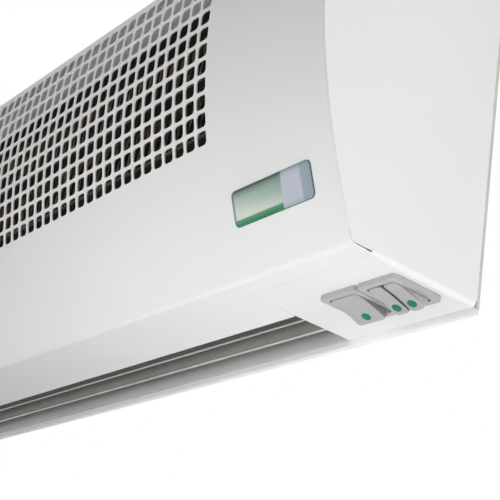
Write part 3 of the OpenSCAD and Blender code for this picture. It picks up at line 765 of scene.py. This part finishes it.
class Workshop:
    """Holds the finishes and puts each finished piece on its body."""

    def __init__(self) -> None:
        """Builds the shared effects; a finish is built when it is first asked for."""
        self.effects = Effects()
        self.built: dict[str, bpy.types.Material] = {}
        self.slots = {part["node"]: part["material_slot"] for part in FRAME["record"]["subparts"]}

    def material(self, finish: Finish) -> bpy.types.Material:
        """Returns a finish's material, built once."""
        if finish.name not in self.built:
            self.built[finish.name] = finish.build(self.effects)
        return self.built[finish.name]

    def add(self, piece: Piece, body: str, slot: str, finish: Optional[Finish] = None) -> None:
        """Gives a piece its finish and puts it on a body.

        Args:
            piece: The piece.
            body: The body that it moves with.
            slot: Its material slot.
            finish: Its finish, if not the one of its slot.
        """
        piece.data.materials.clear()
        piece.data.materials.append(self.material(finish or FINISHES[slot]))
        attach(piece, body)
        LOG.info("%s: %d faces, %s", piece.name, len(piece.data.polygons), slot)

    def place(self, piece: Piece, node: str, finish: Optional[Finish] = None) -> None:
        """Puts a finished piece in the place of a node, on the same body and in the same slot."""
        self.add(piece, FRAME["nodes"][node]["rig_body"], self.slots[node], finish)
        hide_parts(node)

    def trim(self, name: str, size: Triple, middle: Triple, edge: Pair, slot: str) -> None:
        """Adds a plain bar to the casing, its edges rounded by a width in so many steps."""
        bar = block(name, size, middle)
        width, steps = edge
        bar.soften(width, steps)
        self.add(bar.leave(), "casing", slot)

    def dress_nodes(self) -> None:
        """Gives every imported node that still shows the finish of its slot."""
        for name, node in FRAME["nodes"].items():
            if not node.hide_render:
                finish = self.material(FINISHES[self.slots[name]])
                for slot in node.material_slots:
                    slot.material = finish
                LOG.info("%s: packed mesh, %s", name, finish.name)


# ---------------------------------------------------------------- casing


@dataclass
class FrontCover:
    """The curved front with its band of punched holes, turned under to the outlet and over at the top."""

    columns: int = 60
    rows: int = 11
    pitch: float = 10 * MM
    hole: float = 8 * MM
    corner: float = 1.9 * MM
    sheet: float = 1 * MM
    bottom_bend: float = 4 * MM
    top_bend: float = 6 * MM
    bend_steps: int = 8
    lip_bend: float = 1.2 * MM
    lip: float = 12 * MM
    slot_front: float = -40.5 * MM
    fold_front: float = -71 * MM
    duct_edge: float = 302.8 * MM
    tuck: float = 0.75 * MM
    top_edge: float = -104 * MM
    end: float = 391.3 * MM
    margin: float = 0.4 * MM
    rise: float = 1.3 * MM
    strips: int = 9
    edge_round: float = 0.14 * MM
    slack: float = 0.01 * MM

    def cell(self) -> Blank:
        """Models one square of the grille, in the plane of X and Y, round a hole with round corners."""
        blank = Blank("front_cover_sheet", bpy.ops.mesh.primitive_plane_add, size=self.hole)
        blank.pick_all()
        blank.round_off(self.corner, 2, "VERTICES")
        blank.keep_outlines()
        half = self.hole / 2
        inner = half - self.corner * (1 - math.sqrt(0.5))
        slack = self.slack / 10
        for turn in range(4):
            out = Vector((round(math.cos(turn * math.pi / 2)), round(math.sin(turn * math.pi / 2)), 0))
            side = Vector((-out.y, out.x, 0))
            blank.pick(
                Part.EDGES,
                lambda place: inner - slack < place.dot(out) < half + slack
                and abs(place.dot(side)) < inner + slack,
            )
            blank.pull_edges(Vector())
            grow = self.pitch / 2 / inner
            flat = (0 if abs(out.x) else grow, 0 if abs(out.y) else grow, 1)
            blank.scale(flat, out * self.pitch / 2)
        blank.weld()
        return blank

    def flat_sheet(self) -> tuple[Blank, float, float]:
        """Repeats the cell into the grille and widens it to the whole curved part, still flat.

        Returns:
            The sheet in the plane of X and Z with the apex at z = 0, and the arc lengths
            from the apex down to the lower bend and up to the upper one.
        """
        blank = self.cell()
        blank.repeat(self.columns, (self.pitch, 0, 0))
        blank.repeat(self.rows, (0, -self.pitch, 0))
        blank.pick_all()
        blank.move((-(self.columns - 1) * self.pitch / 2, 0, 0))
        blank.turn(math.pi / 2, Vector())
        for side in (-1, 1):
            at = self.columns * self.pitch / 2
            for edge in (self.duct_edge, self.duct_edge + self.tuck, self.end - self.margin, self.end):
                blank.pull_rim(lambda place: side * place.x > at - self.slack, (side * (edge - at), 0, 0))
                at = edge
        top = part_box("front_cover")[1].z
        drop = APEX_Z - self.rise - self.bottom_bend
        below = FRONT_RADIUS * math.asin(drop / (FRONT_RADIUS - self.bottom_bend))
        above = FRONT_RADIUS * math.asin((top - self.top_bend - APEX_Z) / (FRONT_RADIUS - self.top_bend))
        low = -(self.rows - 0.5) * self.pitch
        for step in range(self.strips):
            strip = (below + low) / (self.strips - step)
            blank.pull_rim(lambda place: place.z < low + self.slack, (0, 0, -strip))
            low -= strip
        blank.pull_rim(lambda place: place.z > self.pitch / 2 - self.slack, (0, 0, above - self.pitch / 2))
        return blank, below, above

    def bottom(self, blank: Blank, lean: float) -> None:
        """Turns the sheet under, runs the flange back to the outlet and turns its lip up.

        Args:
            blank: The curved sheet.
            lean: How far its lower edge leans back, in radians.
        """
        slack = self.slack
        bend_y = CAD_BOX[0].y + FRONT_RADIUS - (FRONT_RADIUS - self.bottom_bend) * math.cos(lean)
        low_z = APEX_Z - FRONT_RADIUS * math.sin(lean)
        blank.pick(Part.EDGES, lambda place: place.z < low_z + slack, rim=True)
        blank.spin(math.pi / 2 - lean, self.bend_steps, (1, 0, 0), (0, bend_y, self.rise + self.bottom_bend))
        flat = self.rise + slack
        fold, slot = self.fold_front, self.slot_front
        blank.pull_rim(lambda place: place.z < flat, (0, fold - self.margin - bend_y, 0))
        blank.pull_rim(lambda place: place.z < flat and place.y > bend_y + slack, (0, self.margin, 0))
        middle = self.duct_edge + slack
        blank.pull_rim(
            lambda place: place.z < flat and place.y > fold - slack and abs(place.x) < middle + self.tuck,
            (0, slot - self.lip_bend - fold, 0),
        )
        bend = slot - self.lip_bend
        blank.pick(
            Part.EDGES,
            lambda place: place.z < flat and place.y > bend - slack and abs(place.x) < middle,
            rim=True,
        )
        blank.spin(math.pi / 2, self.bend_steps // 2, (1, 0, 0), (0, bend, self.rise + self.lip_bend))
        blank.pull_rim(lambda place: place.y > slot - slack, (0, 0, self.lip - self.lip_bend))
        blank.pick(Part.POINTS, lambda place: place.y > bend_y + slack and place.z < flat + self.lip)
        blank.turn(-math.atan2(self.rise, slot - bend_y), Vector((0, bend_y, self.rise)))

    def top(self, blank: Blank, lean: float) -> None:
        """Turns the sheet over at the top, where it leans back by an angle in radians."""
        top_y = CAD_BOX[0].y + FRONT_RADIUS - (FRONT_RADIUS - self.top_bend) * math.cos(lean)
        high_z = APEX_Z + FRONT_RADIUS * math.sin(lean)
        cover_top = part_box("front_cover")[1].z
        blank.pick(Part.EDGES, lambda place: place.z > high_z - self.slack, rim=True)
        blank.spin(-(math.pi / 2 - lean), self.bend_steps, (1, 0, 0), (0, top_y, cover_top - self.top_bend))
        blank.pull_rim(lambda place: place.z > cover_top - self.slack, (0, self.top_edge - top_y, 0))

    def build(self, shop: Workshop) -> None:
        """Models the cover and puts it in place."""
        blank, below, above = self.flat_sheet()
        arc = (below + above) / FRONT_RADIUS
        blank.modify("SIMPLE_DEFORM", deform_method="BEND", deform_axis="X", angle=arc)
        blank.pick_all()
        blank.move((0, CAD_BOX[0].y, APEX_Z))
        self.bottom(blank, below / FRONT_RADIUS)
        self.top(blank, above / FRONT_RADIUS)
        blank.weld()
        mesh = bmesh.from_edit_mesh(blank.body.data)
        mesh.normal_update()
        if sum(face.normal.y * face.calc_area() for face in mesh.faces) > 0:
            blank.pick_all()
            bpy.ops.mesh.flip_normals()
        blank.modify("SOLIDIFY", thickness=self.sheet, offset=-1.0, use_even_offset=True)
        blank.soften(self.edge_round, 1, 60)
        shop.place(blank.leave(), "front_cover")


@dataclass
class SidePanel:
    """One end of the casing, its rim flush with the cover and its fold flush with the cover's flange."""

    node: str
    edge: float = 0.18 * MM
    fold_top: float = 3 * MM
    fold_front: float = -71 * MM
    bezel_front: float = -54 * MM
    raised: float = 0.6 * MM
    front_raised: float = 0.38 * MM
    front_reach: float = 0.18 * MM
    rear: float = -3 * MM
    reach: float = 0.35 * MM
    inner: float = 391.4 * MM
    recess: float = 1.2 * MM
    near_rim: float = 0.15 * MM
    forward: float = 1.12 * MM
    corner_lift: float = 0.4 * MM

    def rim(self, place: Vector) -> Vector:
        """The way out from the curve's centre at a place on the rim, or nothing elsewhere."""
        arm = Vector((0, place.y - CAD_BOX[0].y - FRONT_RADIUS, place.z - APEX_Z))
        near = abs(arm.length - FRONT_RADIUS + self.recess) < self.near_rim
        above_fold = abs(place.x) > self.inner and place.z > self.fold_top
        return arm.normalized() if near and above_fold else Vector()

    def build(self, shop: Workshop) -> None:
        """Brings the rim forward to the cover, lifts the fold, closes it at the rear, places the panel."""
        blank = Casting(self.node)
        slack = 0.02 * MM
        blank.cut((0, self.bezel_front, 0), (0, 1, 0))
        top, front = self.fold_top, self.fold_front
        blank.shift(lambda place: place.z < top - slack and place.y < front - slack, (0, -self.forward, 0))
        blank.shift(lambda place: place.z < top - slack and place.y < front + slack, (0, 0, self.corner_lift))
        found = blank.points(lambda place: self.rim(place).length > 0)
        rims = {round(place.z, 7): place for place in reversed(found)}
        for height in sorted(rims):
            blank.shift(
                lambda place: abs(place.z - height) < SAME_PLACE and self.rim(place).length > 0,
                self.rim(rims[height]) * self.forward,
            )
        LOG.info("%s: rim brought forward at %d heights", self.node, len(rims))
        blank.shift(lambda place: place.z < top + slack and place.y > front + slack, (0, 0, self.raised))
        blank.shift(
            lambda place: place.z < top and front + slack < place.y < front + self.reach,
            (0, -self.front_reach, self.front_raised),
        )
        blank.shift(lambda place: place.z < top and place.y > self.rear - slack, (0, self.reach, 0))
        shop.place(blank.finished(self.edge), self.node)


@dataclass
class RearPlate:
    """The wall plate with its hem, and a grey strip along each end that is painted shade, standing for the
    shaded rear bend of each side panel.
    """

    edge: float = 0.18 * MM
    strip_low: float = -0.2 * MM
    inward: float = 1.2 * MM
    strip: Pair = (1.1 * MM, 2.1 * MM)
    strip_rear: float = -0.1 * MM
    strip_top: float = 184 * MM
    strip_edge: tuple[float, int] = (0.3 * MM, 3)
    hem_front: float = -2.5 * MM
    hem_top: float = -0.3 * MM
    hem_lift: float = 1.15 * MM

    def build(self, shop: Workshop) -> None:
        """Closes the hem up to the outlet, narrows the plate above it, adds the painted shade strips, places
        them all.
        """
        blank = Casting("rear_plate")
        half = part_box("rear_plate")[1].x
        slack = 0.05 * MM
        blank.shift(
            lambda place: abs(place.z - self.hem_top) < slack and place.y < self.hem_front / 2,
            (0, 0, self.hem_lift),
        )
        blank.cut((0, 0, self.strip_low), (0, 0, 1))
        for side in (-1, 1):
            blank.shift(
                lambda place: place.z > self.strip_low - slack and place.x * side > half - slack,
                (-side * self.inward, 0, 0),
            )
        shop.place(blank.finished(self.edge), "rear_plate")
        # Painted shade: grey zinc strips stand where the side panels' rear bends fall into shade.
        width, depth = self.strip
        for side, name in ((-1, "left_painted_shade_strip"), (1, "right_painted_shade_strip")):
            across = side * (half - self.inward + width / 2)
            middle = (across, self.strip_rear - depth / 2, self.strip_top / 2)
            shop.trim(name, (width, depth, self.strip_top), middle, self.strip_edge, "zinc_sheet")


@dataclass
class Casing:
    """The sheet parts of the casing round the front cover, with a black lining under the top panel and a grey
    sheet under the cover's top flange, both painted shade for the inside seen through the grille.
    """

    edge: float = 0.18 * MM
    under: float = 1.05 * MM
    shade_lining: Triple = (602 * MM, 92 * MM, 3 * MM)
    shade_lining_front: float = -98.4 * MM
    shade_lining_edge: tuple[float, int] = (0.5 * MM, 3)
    shade_sheet: Triple = (602 * MM, 12 * MM, 0.8 * MM)
    shade_sheet_rear: float = -99.2 * MM
    shade_sheet_edge: tuple[float, int] = (0.15 * MM, 2)

    def build(self, shop: Workshop) -> None:
        """Finishes each part and puts it in place."""
        RearPlate().build(shop)
        for node in ("right_side_panel", "left_side_panel"):
            SidePanel(node).build(shop)
        shop.place(Casting("top_panel").finished(self.edge), "top_panel")
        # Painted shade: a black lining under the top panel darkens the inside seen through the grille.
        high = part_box("top_panel")[1].z - self.under - self.shade_lining[2] / 2
        middle = (0, self.shade_lining_front + self.shade_lining[1] / 2, high)
        shop.trim("painted_shade_lining", self.shade_lining, middle, self.shade_lining_edge, "black_rubber")
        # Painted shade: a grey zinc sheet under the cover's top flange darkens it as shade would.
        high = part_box("front_cover")[1].z - self.under - self.shade_sheet[2] / 2
        middle = (0, self.shade_sheet_rear - self.shade_sheet[1] / 2, high)
        shop.trim("painted_shade_sheet", self.shade_sheet, middle, self.shade_sheet_edge, "zinc_sheet")


@dataclass
class Outlet:
    """The sheet parts of the outlet: two guide vanes with hems and the walls round them."""

    sheets: tuple[str, ...] = ("front_outlet_vane", "rear_outlet_vane", "scroll_sheet", "outlet_tongue")
    edge: float = 0.12 * MM

    def build(self, shop: Workshop) -> None:
        """Softens each sheet's edges and puts it in place."""
        for node in self.sheets:
            shop.place(Casting(node).finished(self.edge), node, OUTLET_LIT_AND_SHADED_ZINC.get(node))


# ---------------------------------------------------------------- switches


@dataclass
class Rocker:
    """One rocker: a key with a hollow face and round corners, and a coloured dot."""

    node: str
    dot_node: str
    middle: float
    width: float
    pivot: Pair = (-35.8 * MM, 0.9 * MM)
    half_length: float = 10.7 * MM
    tip: float = 5.8 * MM
    hollow: float = 0.75 * MM
    top: float = 2.5 * MM
    tilt: float = math.radians(14.2)
    plan_corner: float = 2.3 * MM
    face_round: float = 0.65 * MM
    face_depth: float = 0.1 * MM
    face_rows: int = 16
    flank_rows: int = 8
    dot_radius: float = 2.55 * MM
    dot_sides: int = 40
    dot_depth: float = 1.3 * MM
    dot_rise: float = 0.3 * MM
    dot_along: float = 5.9 * MM
    dot_edge: float = 0.2 * MM
    crown: Triple = (0.05 * MM, 0.03 * MM, 0.01 * MM)

    def lift(self, along: float) -> float:
        """How far the hollow face lies above the line between its tips."""
        return self.hollow * max(0.0, 1 - (along / self.half_length) ** 2)

    def flank(self, height: float) -> float:
        """Half of the key's length at a height, so that its ends clear the opening as it tips."""
        return math.sqrt(self.half_length ** 2 + self.tip ** 2 - height ** 2)

    def key(self) -> Piece:
        """Models the key level, its plan rounded and its ends curved, and tips it to rest."""
        height = self.top
        plan = (self.width, 2 * self.flank(height))
        blank = rounded_plate(self.node + "_key", plan, height, self.plan_corner)
        blank.pick_all(Part.FACES)
        for row in range(self.flank_rows):
            lower = self.top - (self.top + self.tip) * (row + 1) / self.flank_rows
            blank.pull_faces(Vector((0, 0, lower - height)))
            blank.scale((1, self.flank(lower) / self.flank(height), 1), Vector((0, 0, lower)))
            height = lower
        blank.weld()
        blank.pick_facing(DOWN)
        blank.round_off(self.face_round, 4)
        step = 2 * self.half_length / self.face_rows
        for row in range(1, self.face_rows):
            blank.cut((0, row * step - self.half_length, 0), (0, 1, 0))
        low = self.face_round + self.face_depth - self.tip
        for along in sorted({round(place.y, 7) for place in blank.points(lambda place: place.z < low)}):
            if self.lift(along) > 0:
                blank.shift(
                    lambda place: place.z < low and abs(place.y - along) < SAME_PLACE,
                    (0, 0, self.lift(along)),
                )
        return self.at_rest(blank)

    def at_rest(self, blank: Blank) -> Piece:
        """Tips a level blank so that the front end is pressed, and leaves edit mode."""
        blank.pick_all()
        blank.turn(-self.tilt, Vector())
        blank.move((self.middle, *self.pivot))
        return blank.leave(smooth_angle=50)

    def dot(self) -> Piece:
        """Models the dot on the standing half of the key."""
        blank = Blank(
            self.node + "_mark", bpy.ops.mesh.primitive_cylinder_add, vertices=self.dot_sides,
            radius=self.dot_radius, depth=self.dot_depth, location=(0, 0, self.dot_depth / 2 - self.dot_rise),
        )
        blank.pick_facing(DOWN)
        blank.round_off(self.dot_edge, 3)
        blank.pick_facing(DOWN)
        for rise in self.crown:
            bpy.ops.mesh.inset(thickness=self.dot_radius / 4)
            blank.move((0, 0, -rise))
        slope = math.atan(2 * self.hollow * self.dot_along / self.half_length ** 2)
        blank.pick_all()
        blank.turn(-slope, Vector())
        blank.move((0, self.dot_along, self.lift(self.dot_along) - self.tip))
        return self.at_rest(blank)

    def build(self, shop: Workshop) -> None:
        """Models the key and its dot and puts them in place."""
        shop.place(self.key(), self.node)
        shop.place(self.dot(), self.dot_node)


@dataclass
class SwitchHousing:
    """A switch's bezel under the fold and its body above it."""

    node: str
    middle: float
    middle_y: float = -35.8 * MM
    bezel: Pair = (26 * MM, 32.5 * MM)
    bezel_t: float = 2 * MM
    opening: Pair = (19.14 * MM, 25.6 * MM)
    corner: float = 2.3 * MM
    ease: float = 0.4 * MM
    seat: float = 0.6 * MM
    body: Pair = (22 * MM, 28.8 * MM)
    depth: float = 20 * MM
    wall: float = 1.2 * MM
    lap: float = 0.5 * MM
    body_edge: float = 0.25 * MM

    def build(self, shop: Workshop) -> None:
        """Models the bezel as a ring between two rounded outlines, and the hollow body over it."""
        blank = rounded_plate(self.node + "_shell", self.bezel, self.seat, self.corner)
        blank.start_also(self.opening, self.seat)
        blank.round_off(self.corner, CORNER_STEPS, "VERTICES")
        blank.keep_outlines()
        blank.pick_all(Part.EDGES)
        bpy.ops.mesh.bridge_edge_loops()
        blank.pick_all(Part.FACES)
        blank.pull_faces(Vector((0, 0, -self.bezel_t - self.seat)))
        blank.weld()
        blank.pick_facing(DOWN)
        bpy.ops.mesh.region_to_loop()
        blank.round_off(self.ease, 4)
        blank.pick_all()
        blank.move((self.middle, self.middle_y, 0))
        shop.place(blank.leave(smooth_angle=40), self.node)
        middle = (self.middle, self.middle_y, (self.depth - self.lap) / 2)
        box = block(self.node + "_inside", (*self.body, self.depth + self.lap), middle)
        box.pick_facing(DOWN)
        bpy.ops.mesh.inset(thickness=self.wall)
        box.pull_faces(Vector((0, 0, self.depth - self.wall + self.lap)))
        box.soften(self.body_edge, 2)
        shop.add(box.leave(smooth_angle=40), "casing", "dark_plastic")


@dataclass
class Switches:
    """One wide rocker and one pair of narrow ones, each in its bezel."""

    fan_x: float = 347.5 * MM
    heat_x: float = 373.8 * MM
    apart: float = 5.1 * MM
    wide: float = 19 * MM
    narrow: float = 8.8 * MM

    def build(self, shop: Workshop) -> None:
        """Builds both housings and all three rockers."""
        SwitchHousing("fan_switch_housing", self.fan_x).build(shop)
        SwitchHousing("heat_switch_housing", self.heat_x).build(shop)
        Rocker("fan_rocker", "fan_rocker_dot", self.fan_x, self.wide).build(shop)
        Rocker("heat_rocker_one", "heat_dot_one", self.heat_x - self.apart, self.narrow).build(shop)
        Rocker("heat_rocker_two", "heat_dot_two", self.heat_x + self.apart, self.narrow).build(shop)


# ---------------------------------------------------------------- badge


@dataclass
class Badge:
    """A bare two-colour label under domed resin, on the curved front."""

    middle_x: float = 345.1 * MM
    middle_z: float = 33.5 * MM
    size: Pair = (59.4 * MM, 18.7 * MM)
    corner: float = 3 * MM
    corner_steps: int = 8
    plate: float = 0.4 * MM
    plate_edge: float = 0.08 * MM
    dome: float = 0.8 * MM
    dome_inset: float = 0.3 * MM
    dome_wall: float = 0.25 * MM
    dome_steps: int = 7
    dome_run: float = 1.3 * MM
    dome_curve: float = 1.6
    least_step: float = 0.02 * MM
    slack: float = 0.01 * MM

    def plaque(self, name: str, inset: float, low: float, high: float) -> Blank:
        """Starts a flat plate with round corners, facing +Z round the origin, its face selected.

        Args:
            name: The piece's name.
            inset: How much smaller than the badge it is, on each side.
            low: Height of its underside.
            high: Height of its face.

        Returns:
            The plate, in edit mode.
        """
        width, height = self.size[0] - 2 * inset, self.size[1] - 2 * inset
        blank = block(name, (width, height, high - low), (0, 0, (low + high) / 2))
        x, y = (side / 2 - self.slack for side in (width, height))
        blank.pick(Part.EDGES, lambda place: abs(place.x) > x and abs(place.y) > y)
        blank.round_off(self.corner - inset, self.corner_steps)
        blank.pick_facing(-DOWN)
        return blank

    def seat(self, blank: Blank) -> Piece:
        """Turns a plaque from +Z to the front and sets it on the cover."""
        lean = math.asin((APEX_Z - self.middle_z) / FRONT_RADIUS)
        blank.pick_all()
        blank.turn(math.pi / 2 + lean, Vector())
        front = CAD_BOX[0].y + FRONT_RADIUS - FRONT_RADIUS * math.cos(lean)
        blank.move((self.middle_x, front, self.middle_z))
        return blank.leave(smooth_angle=50)

    def build(self, shop: Workshop) -> None:
        """Models the printed plate and the resin dome and puts them in place."""
        plate = self.plaque("badge_plate_label", 0.0, 0.0, self.plate)
        bpy.ops.mesh.bevel(offset=self.plate_edge, segments=1, affect="EDGES")
        shop.place(self.seat(plate), "badge_plate")
        dome = self.plaque("badge_dome_resin", self.dome_inset, self.plate, self.plate + self.dome_wall)
        sines = [math.sin(step / self.dome_steps * math.pi / 2) for step in range(self.dome_steps + 1)]
        for start, end in zip(sines, sines[1:]):
            step = self.dome_run * (end ** self.dome_curve - start ** self.dome_curve)
            bpy.ops.mesh.inset(thickness=step + self.least_step)
            dome.move((0, 0, (self.dome - self.dome_wall) * (end - start)))
        finish = LabelPrintAndPaintedReflection(
            "label_print_and_painted_reflection", (0.44, 0.52, 0.47), (0.40, 0.48, 0.43), Grain.MOULD, 60.0,
            0.004 * MM, (0.08, 0.12), drift_scale=30.0, coat=0.1, specular=0.12,
            middle=(self.middle_x, 0.0, self.middle_z), size=self.size,
        )
        shop.place(self.seat(dome), "badge_dome", finish)


# ---------------------------------------------------------------- heater


@dataclass
class HeaterWinding:
    """Resistance wire laid in two crossing zigzags between two rails."""

    node: str
    low: float
    high: float
    periods: int = 52
    wire_radius: float = 0.4 * MM
    wire_sides: int = 6
    turn_radius: float = 1.1 * MM
    turn_steps: int = 6
    plane_y: float = -102 * MM
    layer: float = 1.6 * MM
    margin: float = 2.8 * MM
    reach: float = 287 * MM

    def build(self, shop: Workshop) -> None:
        """Models one period of wire, repeats it and puts both layers in place."""
        turn = self.turn_radius
        period = 2 * self.reach / self.periods
        height = self.high - self.low - 2 * self.margin
        lean = math.atan2(period / 2 - 2 * turn, height)
        leg = height / math.cos(lean)
        blank = Blank(
            self.node + "_wire", bpy.ops.mesh.primitive_circle_add, vertices=self.wire_sides,
            radius=self.wire_radius, rotation=(0, lean, 0),
        )
        across = Vector((math.cos(lean), 0, -math.sin(lean)))
        along = Vector((math.sin(lean), 0, math.cos(lean)))
        out = Vector((math.cos(lean), 0, math.sin(lean)))
        down = Vector((math.sin(lean), 0, -math.cos(lean)))
        arc = math.pi + 2 * lean
        blank.pick_all()
        blank.pull_edges(along * leg)
        blank.spin(arc, self.turn_steps, (0, 1, 0), along * leg + across * turn)
        blank.pull_edges(down * leg)
        end = along * leg + across * turn + out * turn + down * leg
        blank.spin(-arc, self.turn_steps, (0, 1, 0), end + out * turn)
        last = end + out * turn + across * turn
        blank.weld()
        LOG.info("winding period %.2f mm, next wire at %.3f, %.3f mm", period / MM, last.x / MM, last.z / MM)
        blank.repeat(self.periods, (last.x, 0, 0), 10 * SAME_PLACE)
        blank.pick_all()
        grow = 2 * self.reach / (last.x * self.periods)
        blank.scale((grow, 1, 1), Vector())
        blank.move((-self.reach, self.plane_y - self.layer / 2, self.low + self.margin))
        front = blank.leave(smooth_angle=60)
        back = copy_of(front, self.node + "_back", Vector((period / 4, self.layer, 0)))
        shop.place(join([front, back]), self.node)


@dataclass
class Heater:
    """The heating element: two windings between three mica rails."""

    heights: Triple = (80 * MM, 120 * MM, 160 * MM)

    def build(self, shop: Workshop) -> None:
        """Builds both windings."""
        low, middle, high = self.heights
        HeaterWinding("lower_heater_winding", low, middle).build(shop)
        HeaterWinding("upper_heater_winding", middle, high).build(shop)


# ---------------------------------------------------------------- studio


@dataclass(frozen=True)
class Lamp:
    """A square soft lamp: where it stands, the point that it faces, its side and its power in watts."""

    name: str
    place: Triple
    aim: Triple
    side: float
    power: float

    def hang(self) -> None:
        """Adds the lamp to the scene."""
        light = bpy.data.lights.new(self.name, "AREA")
        light.size = self.side
        light.energy = self.power
        lamp = bpy.data.objects.new(self.name, light)
        lamp.location = self.place
        lamp.rotation_mode = "QUATERNION"
        lamp.rotation_quaternion = (Vector(self.aim) - Vector(self.place)).to_track_quat("-Z", "Y")
        link(lamp)


LAMPS = (
    Lamp("right_end", (1.2, 0.0, 0.0), (0.39, -0.06, 0.05), 0.5, 5.4),
    Lamp("near_corner", (0.7, -0.45, -0.3), (0.38, -0.08, 0.02), 0.3, 0.45),
    Lamp("switch_panel", (0.36, -0.03, -0.3), (0.36, -0.035, 0.0), 0.15, 0.45),
    Lamp("front_right", (0.28, -0.42, -0.12), (0.28, -0.1, 0.05), 0.25, 0.68),
    Lamp("front_left", (-0.2, -0.5, -0.1), (-0.1, -0.1, 0.05), 0.3, 0.42),
    Lamp("left_front", (-0.8, -1.0, -0.1), (-0.1, -0.1, 0.05), 0.7, 2.15),
    Lamp("below_rear", (0.05, 0.3, -0.35), (0.05, -0.05, 0.0), 0.3, 0.47),
    Lamp("left_end", (-1.3, 0.05, 0.1), (-0.39, -0.05, 0.1), 0.6, 5.0),
    Lamp("top", (0.0, 0.1, 1.3), (0.0, -0.06, 0.19), 0.8, 9.0),
    Lamp("rear", (0.2, 1.4, 0.3), (0.0, 0.0, 0.1), 0.8, 14.0),
)


@dataclass
class Studio:
    """Camera, lamps, background and floor."""

    camera_place: Triple = (0.781045, -0.407604, -0.236318)
    right: Triple = (0.6187, 0.7706, 0.1530)
    up: Triple = (0.2352, -0.3675, 0.8998)
    lens: float = 90.37
    ambient: float = 0.12
    floor_z: float = -2.2
    floor_side: float = 12.0
    floor_cuts: int = 3
    floor_tone: float = 0.8
    floor_glow: float = 0.88

    def camera(self) -> None:
        """Sets up the camera at the photograph's viewing angle."""
        lens = bpy.data.cameras.new("camera")
        lens.lens = self.lens
        lens.sensor_width = 36.0
        camera = bpy.data.objects.new("camera", lens)
        right, up = Vector(self.right).normalized(), Vector(self.up)
        back = right.cross(up).normalized()
        up = back.cross(right)
        turned = Matrix((right, up, back)).transposed().to_4x4()
        camera.matrix_world = Matrix.Translation(self.camera_place) @ turned
        link(camera)
        bpy.context.scene.camera = camera

    def world(self) -> None:
        """Sets a background that is seen white, also in gloss and through glass, and lights evenly."""
        world = bpy.data.worlds.new("studio")
        world.use_nodes = True
        tree = Tree(world.node_tree)
        path = tree.add("LightPath").outputs
        seen = tree.maths("MAXIMUM", path["Is Camera Ray"], path["Is Glossy Ray"])
        seen = tree.maths("MAXIMUM", seen, path["Is Transmission Ray"])
        colour = tree.mix(seen, (self.ambient,) * 3, (1.0,) * 3)
        sky = tree.add("Background", {"Color": colour, "Strength": 1.0})
        tree.add("OutputWorld", {0: sky.outputs[0]})
        bpy.context.scene.world = world

    def floor(self) -> None:
        """Lays a pale floor that keeps the object's shadow, white where it is seen."""
        middle = (0, 0, self.floor_z)
        blank = Blank("floor", bpy.ops.mesh.primitive_plane_add, size=self.floor_side, location=middle)
        blank.pick_all()
        bpy.ops.mesh.subdivide(number_cuts=self.floor_cuts)
        piece = blank.leave()
        material = bpy.data.materials.new("floor_matt")
        material.use_nodes = True
        tree = Tree(material.node_tree)
        path = tree.add("LightPath").outputs
        seen = tree.maths("MAXIMUM", path["Is Glossy Ray"], path["Is Transmission Ray"])
        lift = tree.maths("MULTIPLY", path["Is Camera Ray"], self.floor_glow)
        diffuse = tree.add("BsdfDiffuse", {"Color": (*(self.floor_tone,) * 3, 1.0)})
        white = (1.0,) * 4
        glow, raised = (tree.add("Emission", {"Color": white, "Strength": level}) for level in (1.0, lift))
        pale = tree.add("AddShader", {0: diffuse.outputs[0], 1: raised.outputs[0]})
        share = tree.add("MixShader", {0: seen, 1: pale.outputs[0], 2: glow.outputs[0]})
        tree.add("OutputMaterial", {0: share.outputs[0]})
        piece.data.materials.append(material)

    def build(self) -> None:
        """Sets up the whole studio."""
        bpy.context.scene.view_settings.view_transform = "Standard"
        self.camera()
        self.world()
        for lamp in LAMPS:
            lamp.hang()
        self.floor()


def main() -> None:
    """Builds the studio and the air curtain."""
    logging.basicConfig(level=logging.INFO, format="%(name)s: %(message)s")
    shop = Workshop()
    Studio().build()
    for assembly in (FrontCover(), Casing(), Outlet(), Switches(), Badge(), Heater()):
        assembly.build(shop)
    shop.dress_nodes()


if __name__ == "__main__":
    main()
